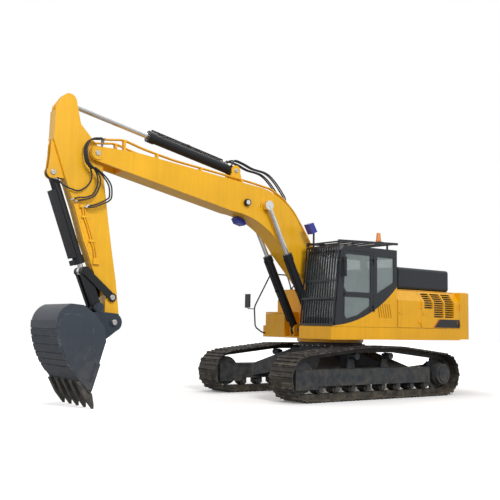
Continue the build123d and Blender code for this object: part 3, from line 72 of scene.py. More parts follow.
# ---------------------------------------------------------------- floor and light
# A pale studio floor that keeps the machine's shadow near it and is white far
# off, a large soft key light from the cab side, a low front fill and a top light.
def put(tree, kind, inputs=None, **settings):
    """A shader node with its settings; each input is a value or another node's socket."""
    node = tree.nodes.new(kind)
    for key, value in settings.items():
        setattr(node, key, value)
    for key, value in (inputs or {}).items():
        if isinstance(value, bpy.types.NodeSocket):
            tree.links.new(value, node.inputs[key])
        else:
            node.inputs[key].default_value = value
    return node


bpy.context.scene.view_settings.view_transform = "Standard"
floor_mesh = bpy.data.meshes.new("floor")
floor_mesh.from_pydata([(-60, -60, 0), (60, -60, 0), (60, 60, 0), (-60, 60, 0)], [], [(0, 1, 2, 3)])
floor = bpy.data.objects.new("floor", floor_mesh)
bpy.context.scene.collection.objects.link(floor)
floor_material = bpy.data.materials.new("studio_floor")
floor_material.use_nodes = True
tree = floor_material.node_tree
floor_shader = tree.nodes["Principled BSDF"]
floor_rays = put(tree, "ShaderNodeLightPath")
floor_tone = put(tree, "ShaderNodeMapRange", {"Value": floor_rays.outputs["Is Camera Ray"], "To Min": 0.42,
                                              "To Max": 1.0})
floor_colour = put(tree, "ShaderNodeCombineColor", {"Red": floor_tone.outputs[0], "Green": floor_tone.outputs[0],
                                                    "Blue": floor_tone.outputs[0]})
tree.links.new(floor_colour.outputs[0], floor_shader.inputs["Base Color"])
floor_shader.inputs["Roughness"].default_value = 0.9
floor_place = put(tree, "ShaderNodeTexCoord").outputs["Object"]
from_middle = put(tree, "ShaderNodeVectorMath", {0: floor_place}, operation="LENGTH").outputs["Value"]
far_white = put(tree, "ShaderNodeMapRange", {"Value": from_middle, "From Min": 3.5, "From Max": 12.0,
                                             "To Min": 0.12, "To Max": 1.0})
floor_glow = put(tree, "ShaderNodeMath", {0: far_white.outputs[0], 1: floor_rays.outputs["Is Camera Ray"]},
                 operation="MULTIPLY")
floor_shader.inputs["Emission Color"].default_value = (1.0, 1.0, 1.0, 1)
tree.links.new(floor_glow.outputs[0], floor_shader.inputs["Emission Strength"])
floor_mesh.materials.append(floor_material)

world = bpy.data.worlds.new("studio")
bpy.context.scene.world = world
world.use_nodes = True
tree = world.node_tree
background = tree.nodes["Background"]
rays = put(tree, "ShaderNodeLightPath")
seen = put(tree, "ShaderNodeMath", {0: rays.outputs["Is Camera Ray"], 1: rays.outputs["Is Glossy Ray"]},
           operation="MAXIMUM")
seen = put(tree, "ShaderNodeMath", {0: seen.outputs[0], 1: rays.outputs["Is Transmission Ray"]},
           operation="MAXIMUM")
strength = put(tree, "ShaderNodeMapRange", {"Value": seen.outputs[0], "To Min": 0.50, "To Max": 1.0})
background.inputs["Color"].default_value = (1.0, 1.0, 1.0, 1)
tree.links.new(strength.outputs[0], background.inputs["Strength"])


def studio_lamp(name, place, aim, width, power):
    """A square soft box at a place, turned to its aim."""
    lamp_data = bpy.data.lights.new(name, "AREA")
    lamp_data.shape = "SQUARE"
    lamp_data.size = width
    lamp_data.energy = power
    lamp = bpy.data.objects.new(name, lamp_data)
    bpy.context.scene.collection.objects.link(lamp)
    lamp.location = place
    lamp.rotation_mode = "QUATERNION"
    lamp.rotation_quaternion = (Vector(aim) - Vector(place)).to_track_quat("-Z", "Y")
    return lamp


studio_lamp("key_light", (7.0, 17.0, 12.0), (1.5, 0.0, 2.0), 6.0, 2150.0)
studio_lamp("front_fill", (19.0, 4.0, 5.0), (2.5, 0.0, 2.0), 6.0, 420.0)
studio_lamp("top_light", (-2.0, -3.0, 14.0), (0.0, 0.0, 1.5), 8.0, 600.0)


# ---------------------------------------------------------------- weathering
# What every outdoor finish shares, as one node group: road dust low down and on
# ledges, wear on edges, slow changes of tone, rain streaks and a fine grain.
weathering = bpy.data.node_groups.new("weathering", "ShaderNodeTree")
for socket_name in ("Dust", "Wear"):
    socket = weathering.interface.new_socket(socket_name, in_out="INPUT", socket_type="NodeSocketFloat")
    socket.default_value = 1.0
for socket_name in ("Dust Mask", "Wear Mask", "Tone", "Grain"):
    weathering.interface.new_socket(socket_name, in_out="OUTPUT", socket_type="NodeSocketFloat")
group_in = weathering.nodes.new("NodeGroupInput")
group_out = weathering.nodes.new("NodeGroupOutput")
place = put(weathering, "ShaderNodeTexCoord").outputs["Object"]
patches = put(weathering, "ShaderNodeTexNoise", {"Vector": place, "Scale": 1.1, "Detail": 5.0}).outputs[0]
clouds = put(weathering, "ShaderNodeTexNoise", {"Vector": place, "Scale": 7.0, "Detail": 6.0,
                                                "Roughness": 0.62}).outputs[0]
grains = put(weathering, "ShaderNodeTexNoise", {"Vector": place, "Scale": 85.0, "Detail": 4.0}).outputs[0]
stretched = put(weathering, "ShaderNodeMapping", {"Vector": place, "Scale": (14.0, 14.0, 0.9)}).outputs[0]
streaks = put(weathering, "ShaderNodeTexNoise", {"Vector": stretched, "Scale": 1.0, "Detail": 3.0}).outputs[0]
height = put(weathering, "ShaderNodeSeparateXYZ", {0: place}).outputs["Z"]
low_down = put(weathering, "ShaderNodeMapRange", {"Value": height, "From Min": 1.25, "From Max": 0.05,
                                                  "To Min": 0.0, "To Max": 0.8}).outputs[0]
surface_normal = put(weathering, "ShaderNodeNewGeometry").outputs["Normal"]
facing_up = put(weathering, "ShaderNodeSeparateXYZ", {0: surface_normal}).outputs["Z"]
ledges = put(weathering, "ShaderNodeMapRange", {"Value": facing_up, "From Min": 0.3, "From Max": 1.0,
                                                "To Min": 0.0, "To Max": 0.45}).outputs[0]
settled = put(weathering, "ShaderNodeMath", {0: low_down, 1: ledges}, operation="ADD").outputs[0]
spread = put(weathering, "ShaderNodeMapRange", {"Value": clouds, "From Min": 0.38, "From Max": 0.66,
                                                "To Min": 0.12, "To Max": 1.0}).outputs[0]
dust = put(weathering, "ShaderNodeMath", {0: settled, 1: spread}, operation="MULTIPLY").outputs[0]
dust = put(weathering, "ShaderNodeMath", {0: dust, 1: group_in.outputs["Dust"]}, operation="MULTIPLY",
           use_clamp=True).outputs[0]
rounded = put(weathering, "ShaderNodeBevel", {"Radius": 0.012}, samples=4).outputs[0]
flatness = put(weathering, "ShaderNodeVectorMath", {0: rounded, 1: surface_normal},
               operation="DOT_PRODUCT").outputs["Value"]
edges = put(weathering, "ShaderNodeMapRange", {"Value": flatness, "From Min": 0.985, "From Max": 0.86}).outputs[0]
chips = put(weathering, "ShaderNodeMapRange", {"Value": clouds, "From Min": 0.50, "From Max": 0.62}).outputs[0]
worn = put(weathering, "ShaderNodeMath", {0: edges, 1: chips}, operation="MULTIPLY").outputs[0]
worn = put(weathering, "ShaderNodeMath", {0: worn, 1: group_in.outputs["Wear"]}, operation="MULTIPLY",
           use_clamp=True).outputs[0]
slow = put(weathering, "ShaderNodeMapRange", {"Value": patches, "From Min": 0.3, "From Max": 0.7,
                                              "To Min": 0.90, "To Max": 1.05}).outputs[0]
runs = put(weathering, "ShaderNodeMapRange", {"Value": streaks, "From Min": 0.35, "From Max": 0.75,
                                              "To Min": 1.02, "To Max": 0.93}).outputs[0]
tone = put(weathering, "ShaderNodeMath", {0: slow, 1: runs}, operation="MULTIPLY").outputs[0]
for source, target in ((dust, "Dust Mask"), (worn, "Wear Mask"), (tone, "Tone"), (grains, "Grain")):
    weathering.links.new(source, group_out.inputs[target])


def blend_colour(tree, factor, first, second):
    """Colour that goes from the first to the second with the factor."""
    mix = tree.nodes.new("ShaderNodeMix")
    mix.data_type = "RGBA"
    for index, value in ((0, factor), (6, first), (7, second)):
        if isinstance(value, bpy.types.NodeSocket):
            tree.links.new(value, mix.inputs[index])
        else:
            mix.inputs[index].default_value = value if index == 0 else (*value, 1.0)
    return mix.outputs[2]


def finish(name, colour, roughness, metallic=0.0, dust=0.5, wear=0.5, under=(0.05, 0.045, 0.04),
           dirt=(0.30, 0.25, 0.18), bump=0.12, coat=0.0):
    """An opaque outdoor finish: its own colour under the shared weathering."""
    material = bpy.data.materials.new(name)
    material.use_nodes = True
    tree = material.node_tree
    shader = tree.nodes["Principled BSDF"]
    weather = put(tree, "ShaderNodeGroup", node_tree=weathering)
    weather.inputs["Dust"].default_value = dust
    weather.inputs["Wear"].default_value = wear
    toned = put(tree, "ShaderNodeVectorMath", {0: colour, "Scale": weather.outputs["Tone"]}, operation="SCALE")
    shown = blend_colour(tree, weather.outputs["Wear Mask"], toned.outputs[0], under)
    shown = blend_colour(tree, weather.outputs["Dust Mask"], shown, dirt)
    tree.links.new(shown, shader.inputs["Base Color"])
    dull = put(tree, "ShaderNodeMapRange", {"Value": weather.outputs["Dust Mask"], "To Min": roughness,
                                            "To Max": min(0.95, roughness + 0.4)})
    mottled = put(tree, "ShaderNodeMapRange", {"Value": weather.outputs["Grain"], "From Min": 0.3, "From Max": 0.7,
                                               "To Min": 0.88, "To Max": 1.15})
    rough = put(tree, "ShaderNodeMath", {0: dull.outputs[0], 1: mottled.outputs[0]}, operation="MULTIPLY",
                use_clamp=True)
    tree.links.new(rough.outputs[0], shader.inputs["Roughness"])
    relief = put(tree, "ShaderNodeBump", {"Height": weather.outputs["Grain"], "Strength": bump, "Distance": 0.002})
    tree.links.new(relief.outputs[0], shader.inputs["Normal"])
    shader.inputs["Metallic"].default_value = metallic
    shader.inputs["Coat Weight"].default_value = coat
    shader.inputs["Specular IOR Level"].default_value = 0.28
    return material


def coat_nodes(material, *names):
    """The material on the solids of those names."""
    for name in names:
        nodes[name].data.materials.clear()
        nodes[name].data.materials.append(material)


# ---------------------------------------------------------------- paint of the body and the working gear
# Baked chrome-yellow enamel: fuller on the body, a little paler on boom and arm as
# a painted sheen; clear gloss with dust on ledges and chips along the edges.
body_yellow = finish("body_yellow", (0.88, 0.425, 0.001), 0.34, dust=0.35, wear=0.5, under=(0.16, 0.13, 0.10),
                     coat=0.25, bump=0.05)
# Boom and arm yellow: paler than the body's, a painted sheen of the light on their sides.
gear_yellow_painted_sheen = finish("gear_yellow_painted_sheen", (0.88, 0.455, 0.012), 0.36, dust=0.35, wear=0.6, under=(0.16, 0.13, 0.10),
                     coat=0.25, bump=0.07)
coat_nodes(body_yellow, "counterweight", "body_covers", "fuel_tank", "hydraulic_tank", "cab_side_panel",
           "revolving_frame", "toolbox", "toolbox_lid", "service_door_left_a", "service_door_left_b",
           "pump_door_right")
coat_nodes(gear_yellow_painted_sheen, "boom", "arm", "boom_pipes", "arm_pipes")

# ---------------------------------------------------------------- dark paints
# Satin black of cab, hood, guards and cylinders, and the blue-grey enamel of the
# track frames and the bucket, which wear to bare steel on their edges.
cab_black = finish("cab_black", (0.016, 0.019, 0.024), 0.36, dust=0.18, wear=0.3, under=(0.16, 0.16, 0.16),
                   coat=0.2, bump=0.05)
hood_black = finish("hood_black", (0.026, 0.031, 0.038), 0.42, dust=0.25, wear=0.3, under=(0.2, 0.2, 0.2))
gear_black = finish("gear_black", (0.012, 0.013, 0.015), 0.40, dust=0.25, wear=0.4, under=(0.14, 0.13, 0.12))
frame_slate = finish("frame_slate", (0.022, 0.029, 0.038), 0.45, dust=0.38, wear=0.8, under=(0.15, 0.14, 0.13))
bucket_slate = finish("bucket_slate", (0.034, 0.044, 0.060), 0.44, dust=0.3, wear=1.0, under=(0.22, 0.21, 0.20),
                      bump=0.2)
coat_nodes(cab_black, "cab_shell", "cab_door", "front_guard", "roof_guard", "mirrors", "handrails")
coat_nodes(hood_black, "engine_hood")
coat_nodes(gear_black, "boom_cylinder_barrels", "arm_cylinder_barrel", "bucket_cylinder_barrel", "idler_links",
           "bucket_link")
coat_nodes(frame_slate, "track_frames", "car_body", "final_drives", "carrier_rollers", "idlers", "sprockets",
           "bottom_rollers")
coat_nodes(bucket_slate, "bucket")

# ---------------------------------------------------------------- bare and ground metals
# Cast and forged steel of tracks, teeth and engine, ground pins, and the hard
# chrome of the cylinder rods with a film of oil.
track_steel = finish("track_steel", (0.032, 0.031, 0.031), 0.5, metallic=0.35, dust=0.5, wear=1.0,
                     under=(0.30, 0.28, 0.26), bump=0.3)
tooth_steel = finish("tooth_steel", (0.055, 0.056, 0.06), 0.48, metallic=0.4, dust=0.4, wear=1.0,
                     under=(0.36, 0.34, 0.31), bump=0.3)
pin_steel = finish("pin_steel", (0.50, 0.49, 0.47), 0.35, metallic=0.9, dust=0.3, wear=0.2, bump=0.05)
rod_chrome = finish("rod_chrome", (0.72, 0.72, 0.72), 0.14, metallic=1.0, dust=0.0, wear=0.0, bump=0.0)
engine_iron = finish("engine_iron", (0.06, 0.06, 0.06), 0.6, dust=0.5, wear=0.2)
coat_nodes(track_steel, "track_left", "track_right", "swing_bearing")
coat_nodes(tooth_steel, "bucket_teeth")
coat_nodes(pin_steel, "foot_pins", "boom_pins", "arm_pins")
coat_nodes(rod_chrome, "boom_cylinder_rods", "arm_cylinder_rod", "bucket_cylinder_rod")
coat_nodes(engine_iron, "power_pack")

# ---------------------------------------------------------------- rubber, plastic and cloth
# Black hose rubber, grained cab plastic, and the seat's dark woven cloth.
hose_rubber = finish("hose_rubber", (0.028, 0.030, 0.036), 0.48, dust=0.3, wear=0.0, bump=0.15)
cab_plastic = finish("cab_plastic", (0.045, 0.046, 0.048), 0.55, dust=0.1, wear=0.0, bump=0.35)
seat_cloth = finish("seat_cloth", (0.030, 0.031, 0.036), 0.9, dust=0.1, wear=0.0, bump=0.6)
coat_nodes(hose_rubber, "arm_hoses", "arm_cylinder_hoses")
coat_nodes(cab_plastic, "seat_stand")
coat_nodes(seat_cloth, "operator_seat")


# ---------------------------------------------------------------- glass, lenses and lamp shells
# Grey-green tinted panes with a mottled film on them, the beacon's amber
# dome, and the deep blue shells of the work lamps.
def clear_finish(name, colour, roughness, transmission, alpha, coat=0.0):
    """Glass or clear plastic with a little dust on it."""
    material = bpy.data.materials.new(name)
    material.use_nodes = True
    tree = material.node_tree
    shader = tree.nodes["Principled BSDF"]
    weather = put(tree, "ShaderNodeGroup", node_tree=weathering)
    weather.inputs["Dust"].default_value = 0.5
    weather.inputs["Wear"].default_value = 0.0
    toned = put(tree, "ShaderNodeVectorMath", {0: colour, "Scale": weather.outputs["Tone"]}, operation="SCALE")
    tree.links.new(toned.outputs[0], shader.inputs["Base Color"])
    film = put(tree, "ShaderNodeMapRange", {"Value": weather.outputs["Grain"], "From Min": 0.3, "From Max": 0.7,
                                            "To Min": roughness * 0.7, "To Max": roughness * 1.6})
    tree.links.new(film.outputs[0], shader.inputs["Roughness"])
    shader.inputs["Transmission Weight"].default_value = transmission
    shader.inputs["Alpha"].default_value = alpha
    shader.inputs["Coat Weight"].default_value = coat
    shader.inputs["IOR"].default_value = 1.45
    return material


window_glass = clear_finish("window_glass", (0.30, 0.38, 0.37), 0.04, 0.0, 0.42, coat=1.0)
amber_lens = clear_finish("amber_lens", (0.90, 0.30, 0.03), 0.2, 0.25, 1.0, coat=0.6)
lamp_blue = clear_finish("lamp_blue", (0.012, 0.022, 0.30), 0.3, 0.0, 1.0, coat=0.5)
coat_nodes(window_glass, "cab_glass", "cab_door_glass")
coat_nodes(amber_lens, "beacon")
coat_nodes(lamp_blue, "boom_lamps", "cab_lamp")


# ---------------------------------------------------------------- pin caps
# Ground steel caps on both ends of every pin, each with its keeper bolt and
# grease nipple, turned from profiles and seated on the pin's own end face.
def piece(name, shape, body, material, crease=32.0):
    """The shape as a piece that rides a body, smooth but for its sharp edges."""
    bmesh.ops.recalc_face_normals(shape, faces=shape.faces)
    mesh = bpy.data.meshes.new(name)
    shape.to_mesh(mesh)
    shape.free()
    mesh.materials.append(material)
    for polygon in mesh.polygons:
        polygon.use_smooth = True
    mesh.set_sharp_from_angle(angle=math.radians(crease))
    made = bpy.data.objects.new(name, mesh)
    bpy.context.scene.collection.objects.link(made)
    if body:
        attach(made, body)
    return made


def turned(shape, centre, axis, profile, sides=28, turn=0.0):
    """Turned solid: a profile of (distance along the axis, radius) about the axis."""
    axis = Vector(axis).normalized()
    across = axis.orthogonal().normalized()
    upright = axis.cross(across)
    rings = []
    for along, radius in profile:
        middle = Vector(centre) + axis * along
        if radius <= 0.0:
            rings.append([shape.verts.new(middle)])
            continue
        rings.append([shape.verts.new(middle + (across * math.cos(angle) + upright * math.sin(angle)) * radius)
                      for angle in (turn + 2.0 * math.pi * step / sides for step in range(sides))])
    for first, second in zip(rings, rings[1:]):
        for step in range(sides):
            following = (step + 1) % sides
            corners = [ring[0] if len(ring) == 1 else ring[index]
                       for ring, index in ((first, step), (first, following), (second, following), (second, step))]
            corners = list(dict.fromkeys(corners))
            if len(corners) > 2:
                shape.faces.new(corners)


def bolt(shape, centre, axis, radius, turn=0.0):
    """Hexagon head on its washer."""
    turned(shape, centre, axis, ((0, 0), (0, radius * 1.35), (radius * 0.2, radius * 1.35), (radius * 0.2, 0)), 16)
    turned(shape, Vector(centre) + Vector(axis) * radius * 0.2, axis,
           ((0, 0), (0, radius), (radius * 0.62, radius), (radius * 0.8, radius * 0.8), (radius * 0.8, 0)), 6, turn)


def solids_of(node):
    """The separate solids of a node as lists of points."""
    shape = bmesh.new()
    shape.from_mesh(nodes[node].data)
    bmesh.ops.remove_doubles(shape, verts=shape.verts, dist=0.0002)
    waiting, found = set(shape.verts), []
    while waiting:
        reached = [waiting.pop()]
        for vertex in reached:
            for edge in vertex.link_edges:
                other = edge.other_vert(vertex)
                if other in waiting:
                    waiting.remove(other)
                    reached.append(other)
        found.append([vertex.co.copy() for vertex in reached])
    shape.free()
    return found


for node, body in (("foot_pins", "house"), ("boom_pins", "boom"), ("arm_pins", "arm")):
    caps = bmesh.new()
    for points in solids_of(node):
        low = Vector(min(p[k] for p in points) for k in range(3))
        high = Vector(max(p[k] for p in points) for k in range(3))
        radius = 0.5 * (high.x - low.x)
        for sign, end in ((-1.0, low.y), (1.0, high.y)):
            centre = Vector((0.5 * (low.x + high.x), end, 0.5 * (low.z + high.z)))
            turned(caps, centre, (0, sign, 0),
                   ((0, 0), (0, radius * 0.94), (0.006, radius * 0.94), (0.010, radius * 0.84),
                    (0.010, radius * 0.40), (0.007, radius * 0.36), (0.007, 0)))
            bolt(caps, centre + Vector((radius * 0.60, sign * 0.010, 0)), (0, sign, 0), 0.010)
            turned(caps, centre + Vector((0, sign * 0.007, 0)), (0, sign, 0),
                   ((0, 0.006), (0.005, 0.006), (0.007, 0.003), (0.007, 0)), 10)
    piece(node + "_caps", caps, body, pin_steel)


# ---------------------------------------------------------------- hoses at the arm's joint
# Five braided rubber hoses that loop from the boom's head to the arm, each swept
# as one smooth tube, with crimped steel ends held to boom and arm.
def smooth_path(points, steps=7):
    """Points of a smooth curve through the given ones."""
    points = [Vector(point) for point in points]
    ends = [points[0] * 2 - points[1]] + points + [points[-1] * 2 - points[-2]]
    curve = []
    for before, start, stop, after in zip(ends, ends[1:], ends[2:], ends[3:]):
        for step in range(steps):
            t = step / steps
            curve.append(0.5 * (2 * start + (stop - before) * t + (2 * before - 5 * start + 4 * stop - after) * t * t
                                + (3 * start - before - 3 * stop + after) * t ** 3))
    return curve + [points[-1]]


def swept(shape, path, radius, sides=12):
    """Closed round tube along a path, without twist."""
    heading = (path[1] - path[0]).normalized()
    across = heading.orthogonal().normalized()
    rings = []
    for index, point in enumerate(path):
        new_heading = (path[min(index + 1, len(path) - 1)] - path[max(index - 1, 0)]).normalized()
        across = (heading.rotation_difference(new_heading) @ across).normalized()
        heading = new_heading
        upright = heading.cross(across)
        rings.append([shape.verts.new(point + (across * math.cos(angle) + upright * math.sin(angle)) * radius)
                      for angle in (2.0 * math.pi * step / sides for step in range(sides))])
    for first, second in zip(rings, rings[1:]):
        for step in range(sides):
            following = (step + 1) % sides
            shape.faces.new((first[step], first[following], second[following], second[step]))
    shape.faces.new(rings[0])
    shape.faces.new(rings[-1])


def boss(shape, point, node, radius):
    """Turned boss from the nearest place on a node's surface to a point."""
    found, spot = nodes[node].closest_point_on_mesh(Vector(point))[:2]
    reach = (Vector(point) - spot).length
    if found and reach > 0.0005:
        turned(shape, spot, Vector(point) - spot, ((0, 0), (0, radius), (reach, radius), (reach, 0)), 16)


hose_bundle = ((5.858, 4.813), (5.920, 4.800), (6.080, 4.765), (6.170, 4.660), (6.190, 4.520), (6.150, 4.350),
               (6.065, 4.250))
hose_loops = (
    (0.208, ((6.030, 0.205, 4.160), (6.030, 0.200, 4.030), (6.112, 0.195, 3.905), (6.254, 0.190, 3.812),
             (6.397, 0.180, 3.830), (6.540, 0.152, 3.891), (6.641, 0.146, 3.973), (6.690, 0.146, 3.985))),
    (0.240, ((5.997, 0.240, 4.235), (5.925, 0.242, 4.086), (5.928, 0.242, 3.929), (5.999, 0.238, 3.777),
             (6.119, 0.230, 3.706), (6.270, 0.205, 3.682), (6.372, 0.150, 3.640))),
    (0.272, ((5.990, 0.270, 4.225), (5.890, 0.272, 4.086), (5.892, 0.272, 3.929), (5.975, 0.268, 3.752),
             (6.110, 0.250, 3.672), (6.250, 0.190, 3.640), (6.300, 0.160, 3.610))),
    (0.304, ((5.985, 0.300, 4.230), (5.822, 0.302, 4.080), (5.727, 0.302, 3.941), (5.708, 0.300, 3.755),
             (5.765, 0.296, 3.692), (5.842, 0.290, 3.642), (5.985, 0.250, 3.573), (6.100, 0.200, 3.560))),
    (0.332, ((5.975, 0.328, 4.222), (5.785, 0.330, 4.080), (5.690, 0.330, 3.941), (5.678, 0.330, 3.745),
             (5.735, 0.328, 3.662), (5.842, 0.320, 3.606), (5.985, 0.270, 3.537), (6.130, 0.200, 3.530))),
)
hoses, boom_ends, arm_ends = bmesh.new(), bmesh.new(), bmesh.new()
for across_at, loop in hose_loops:
    route = smooth_path([(x, across_at, z) for x, z in hose_bundle] + list(loop))
    swept(hoses, route, 0.0145)
    for ends, point, onward in ((boom_ends, route[0], route[2]), (arm_ends, route[-1], route[-3])):
        turned(ends, point, onward - point,
               ((0, 0), (0, 0.0175), (0.018, 0.0175), (0.020, 0.0165), (0.045, 0.0165), (0.050, 0.0148),
                (0.050, 0)), 16)
    boss(boom_ends, route[0], "boom", 0.014)
    boss(arm_ends, route[-1], "arm", 0.014)
joint_hoses = piece("joint_hoses", hoses, None, hose_rubber)
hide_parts("arm_hoses")
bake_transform(joint_hoses)
piece("joint_hose_ends_boom", boom_ends, "boom", pin_steel)
piece("joint_hose_ends_arm", arm_ends, "arm", pin_steel)

# ---------------------------------------------------------------- hoses to the arm cylinder
# Four smooth rubber hoses from the boom's back to the arm cylinder's foot, held
# to the boom, with crimped steel ends.
hoses, steel_ends = bmesh.new(), bmesh.new()
for across_at, start in ((-0.122, (2.985, 4.752)), (-0.062, (2.985, 4.850)), (0.062, (2.985, 4.850)),
                         (0.122, (2.985, 4.752))):
    route = smooth_path([(x, across_at, z) for x, z in (
        start, (2.900, start[1] + 0.015), (2.815, 4.878), (2.600, 4.842), (2.350, 4.765), (1.990, 4.715),
        (1.740, 4.555), (1.500, 4.295), (1.452, 4.190), (1.440, 4.072))])
    swept(hoses, route, 0.0155)
    for point, onward in ((route[0], route[2]), (route[-1], route[-3])):
        turned(steel_ends, point, onward - point,
               ((0, 0), (0, 0.0185), (0.018, 0.0185), (0.020, 0.0172), (0.045, 0.0172), (0.050, 0.0158),
                (0.050, 0)), 16)
    boss(steel_ends, route[-1], "boom", 0.016)
cylinder_hoses = piece("cylinder_hoses", hoses, "boom", hose_rubber)
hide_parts("arm_cylinder_hoses")
piece("cylinder_hose_ends", steel_ends, "boom", pin_steel)


# ---------------------------------------------------------------- driver's seat
# Foam cushion and back under dark woven cloth, each a rounded block puffed
# between its seams, smoothed by subdivision and set on the seat's suspension.
def cushion(shape, low, high, lean=0.0, cells=7):
    """Puffed block between two corners, its top leaning back."""
    low, high = Vector(low), Vector(high)
    block = bmesh.new()
    bmesh.ops.create_cube(block, size=2.0)
    bmesh.ops.subdivide_edges(block, edges=block.edges[:], cuts=cells, use_grid_fill=True)
    for vertex in block.verts:
        point = vertex.co.copy()
        size = sum(abs(value) ** 6 for value in point) ** (1.0 / 6.0)
        rounded_point = point / size
        seam = 1.0 - 0.05 * (abs(math.cos(point.y * math.pi * 1.5)) < 0.25)
        place_now = Vector(0.5 * (low[k] + high[k]) + 0.5 * (high[k] - low[k]) * rounded_point[k] * seam
                           for k in range(3))
        place_now.x -= lean * (place_now.z - low.z)
        vertex.co = place_now
    kept = bpy.data.meshes.new("block")
    block.to_mesh(kept)
    block.free()
    shape.from_mesh(kept)
    bpy.data.meshes.remove(kept)


seat_shape = bmesh.new()
cushion(seat_shape, (-0.105, 0.705, 1.935), (0.385, 1.195, 2.052))
cushion(seat_shape, (-0.120, 0.712, 2.055), (-0.015, 1.188, 2.700), 0.17)
driver_seat = piece("driver_seat", seat_shape, "house", seat_cloth, 80.0)
softened = driver_seat.modifiers.new("foam", "SUBSURF")
softened.levels = softened.render_levels = 2
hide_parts("operator_seat")


# ---------------------------------------------------------------- band along the body's side
# Satin black band low on the rear side door with a slanted orange-red edge at
# its front, each a thin rolled skin laid on the door's face.
def skin(shape, outline, thickness):
    """Thin plate from an outline, raised along its normal."""
    face = shape.faces.new([shape.verts.new(point) for point in outline])
    raised = bmesh.ops.extrude_face_region(shape, geom=[face])["geom"]
    bmesh.ops.translate(shape, vec=thickness, verts=[v for v in raised if isinstance(v, bmesh.types.BMVert)])


def face_level(node, direction):
    """How far the broadest flat face that looks along a direction lies along it."""
    direction, found = Vector(direction), {}
    for polygon in nodes[node].data.polygons:
        if polygon.normal.dot(direction) > 0.999:
            level = round(polygon.center.dot(direction), 4)
            found[level] = found.get(level, 0.0) + polygon.area
    return max(found, key=found.get)


band_black = finish("band_black", (0.018, 0.018, 0.020), 0.38, dust=0.25, wear=0.2, coat=0.2, bump=0.04)
band_orange = finish("band_orange", (0.62, 0.085, 0.010), 0.36, dust=0.2, wear=0.2, coat=0.2, bump=0.04)
door_face = face_level("service_door_left_b", (0, 1, 0))
band, edge_band = bmesh.new(), bmesh.new()
band_low, band_high, leaf_low, leaf_high, leaf_rise = 1.500, 1.690, 1.590, 1.650, 0.012
skin(band, [(x, door_face, z) for x, z in ((-2.725, band_low), (-1.850, band_low), (-2.030, band_high),
                                           (-2.725, band_high))], (0, 0.0015, 0))
skin(band, [(x, door_face + leaf_rise, z) for x, z in ((-2.739, leaf_low), (-2.640, leaf_low),
                                                       (-2.640, leaf_high), (-2.739, leaf_high))], (0, 0.001, 0))
skin(edge_band, [(x, door_face, z) for x, z in ((-1.842, band_low), (-1.800, band_low), (-1.980, band_high),
                                                (-2.022, band_high))], (0, 0.0015, 0))
piece("side_band", band, "service_door_left_b", band_black)
piece("side_band_edge", edge_band, "service_door_left_b", band_orange)

# ---------------------------------------------------------------- ring bolts of the swing bearing
# Forged hexagon bolts round the bearing's outer ring, standing on the car body.
ring_bolts = bmesh.new()
ring_low, ring_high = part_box("swing_bearing")
ring_radius = 0.5 * (ring_high[0] - ring_low[0])
for step in range(36):
    angle = 2.0 * math.pi * step / 36
    bolt(ring_bolts, (math.cos(angle) * (ring_radius + 0.035), math.sin(angle) * (ring_radius + 0.035), ring_low[2]),
         (0, 0, 1), 0.016, angle)
piece("swing_bearing_bolts", ring_bolts, "undercarriage", pin_steel)

# ---------------------------------------------------------------- bolts of the final drives
# A ring of dark forged bolts on each final drive's outer cover, seated on its face.
drive_bolts = bmesh.new()
drive_low, drive_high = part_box("final_drives")
drive_x, drive_z = 0.5 * (drive_low[0] + drive_high[0]), 0.5 * (drive_low[2] + drive_high[2])
for sign in (-1.0, 1.0):
    level = face_level("final_drives", (0, sign, 0))
    for step in range(12):
        angle = 2.0 * math.pi * (step + 0.5) / 12
        bolt(drive_bolts, (drive_x + math.cos(angle) * 0.085, sign * level, drive_z + math.sin(angle) * 0.085),
             (0, sign, 0), 0.011, angle)
piece("final_drive_bolts", drive_bolts, "undercarriage", tooth_steel)


# ---------------------------------------------------------------- mesh of the engine hood's side
# Pressed steel screen on the hood's left side: crossed flat bars in the hood's
# own satin black, welded on its face.
screen = bmesh.new()
hood_face = face_level("engine_hood", (0, 1, 0))
for step in range(9):
    z = 2.430 + 0.044 * step
    skin(screen, [(x, hood_face, up) for x, up in ((-2.690, z), (-1.130, z), (-1.130, z + 0.009),
                                                   (-2.690, z + 0.009))], (0, 0.004, 0))
for step in range(27):
    x = -2.690 + 0.0597 * step
    skin(screen, [(side, hood_face + 0.004, z) for side, z in ((x, 2.430), (x + 0.007, 2.430), (x + 0.007, 2.791),
                                                                (x, 2.791))], (0, 0.003, 0))
piece("hood_screen", screen, "engine_hood", hood_black)

# ---------------------------------------------------------------- work lamps
# Deep blue moulded lamp shells over the cab and under the boom, on a black post
# with its bracket on the roof guard and a yellow bracket on the boom, and a black
# ring with a silvered lens on the boom's side.
lamp_post, lamp_head = bmesh.new(), bmesh.new()
skin(lamp_post, [(x, 0.545, z) for x, z in ((0.995, 3.161), (1.025, 3.161), (1.025, 3.520), (0.995, 3.520))],
     (0, 0.030, 0))
skin(lamp_head, [(x, 0.480, z) for x, z in ((1.090, 3.690), (1.225, 3.640), (1.110, 3.440), (0.975, 3.500))],
     (0, 0.160, 0))
skin(lamp_post, [(x, 0.500, z) for x, z in ((0.985, 3.215), (1.035, 3.215), (1.035, 3.235), (0.985, 3.235))],
     (0, 0.075, 0))
roof_lamp_head = piece("roof_lamp_head", lamp_head, "house", lamp_blue)
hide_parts("cab_lamp")
piece("roof_lamp_post", lamp_post, "house", cab_black)
under_head, bracket, ring, lens = bmesh.new(), bmesh.new(), bmesh.new(), bmesh.new()
skin(under_head, [(x, -0.200, z) for x, z in ((2.660, 3.700), (2.610, 3.742), (2.450, 3.690), (2.380, 3.600),
                                              (2.440, 3.560), (2.600, 3.600))], (0, 0.180, 0))
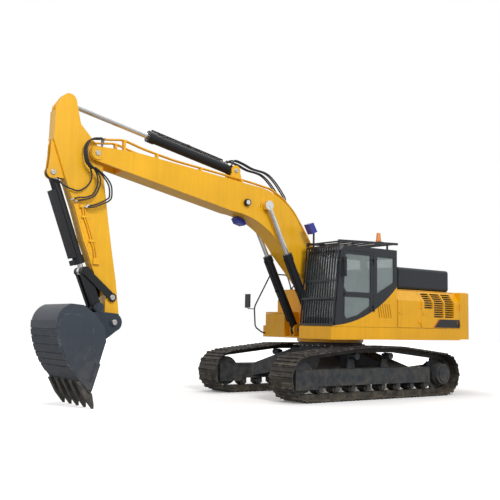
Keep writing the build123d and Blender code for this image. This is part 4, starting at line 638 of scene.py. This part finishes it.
skin(bracket, [(x, -0.140, z) for x, z in ((2.560, 3.736), (2.500, 3.720), (2.500, 3.690), (2.560, 3.700))],
     (0, 0.060, 0))
skin(bracket, [(x, 0.2353, z) for x, z in ((2.535, 3.980), (2.585, 3.980), (2.585, 4.040), (2.535, 4.040))],
     (0, 0.040, 0))
turned(ring, (2.590, 0.2703, 4.000), (0, 1, 0),
       ((0, 0), (0, 0.078), (0.045, 0.071), (0.060, 0.067), (0.060, 0.058), (0.050, 0.054), (0.050, 0)), 36)
turned(lens, (2.590, 0.3203, 4.000), (0, 1, 0), ((0, 0), (0, 0.053), (0.004, 0.050), (0.007, 0.030), (0.008, 0)), 36)
boom_lamp_head = piece("boom_lamp_head", under_head, "boom", lamp_blue)
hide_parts("boom_lamps")
piece("boom_lamp_brackets", bracket, "boom", gear_yellow_painted_sheen)
piece("boom_side_lamp_ring", ring, "boom", gear_black)
piece("boom_side_lamp_lens", lens, "boom", rod_chrome)

# ---------------------------------------------------------------- gland bolts of the cylinders
# A ring of steel bolts at the gland on the mouth of each cylinder and a rubber
# wiper round the rod, carried by the barrel.
for body, foot, eye, reach, radius, rod_radius in (
        ("arm_cylinder_barrel", (2.770, 4.670), (6.468, 5.421), None, 0.082, 0.052),
        ("boom_cylinder_barrels", (0.735, 1.400), (2.085, 3.985), 1.800, 0.084, 0.050)):
    way = (Vector((eye[0], 0, eye[1])) - Vector((foot[0], 0, foot[1]))).normalized()
    if reach is None:
        points = [vertex.co for vertex in nodes[body].data.vertices]
        reach = max((point - Vector((foot[0], 0, foot[1]))).dot(way) for point in points)
    glands, wiper = bmesh.new(), bmesh.new()
    for across_at in ((0.0,) if body == "arm_cylinder_barrel" else (-0.345, 0.345)):
        mouth = Vector((foot[0], across_at, foot[1])) + way * reach
        across = Vector((0, 1, 0))
        upright = way.cross(across)
        for step in range(8):
            angle = 2.0 * math.pi * step / 8
            spot = mouth + (across * math.cos(angle) + upright * math.sin(angle)) * (radius - 0.014)
            bolt(glands, spot, way, 0.0085, angle)
        turned(wiper, mouth, way, ((0, rod_radius + 0.001), (0, rod_radius + 0.010), (0.008, rod_radius + 0.009),
                                   (0.010, rod_radius + 0.001), (0, rod_radius + 0.001)), 32)
    piece(body + "_gland_bolts", glands, body, pin_steel)
    piece(body + "_wipers", wiper, body, hose_rubber)
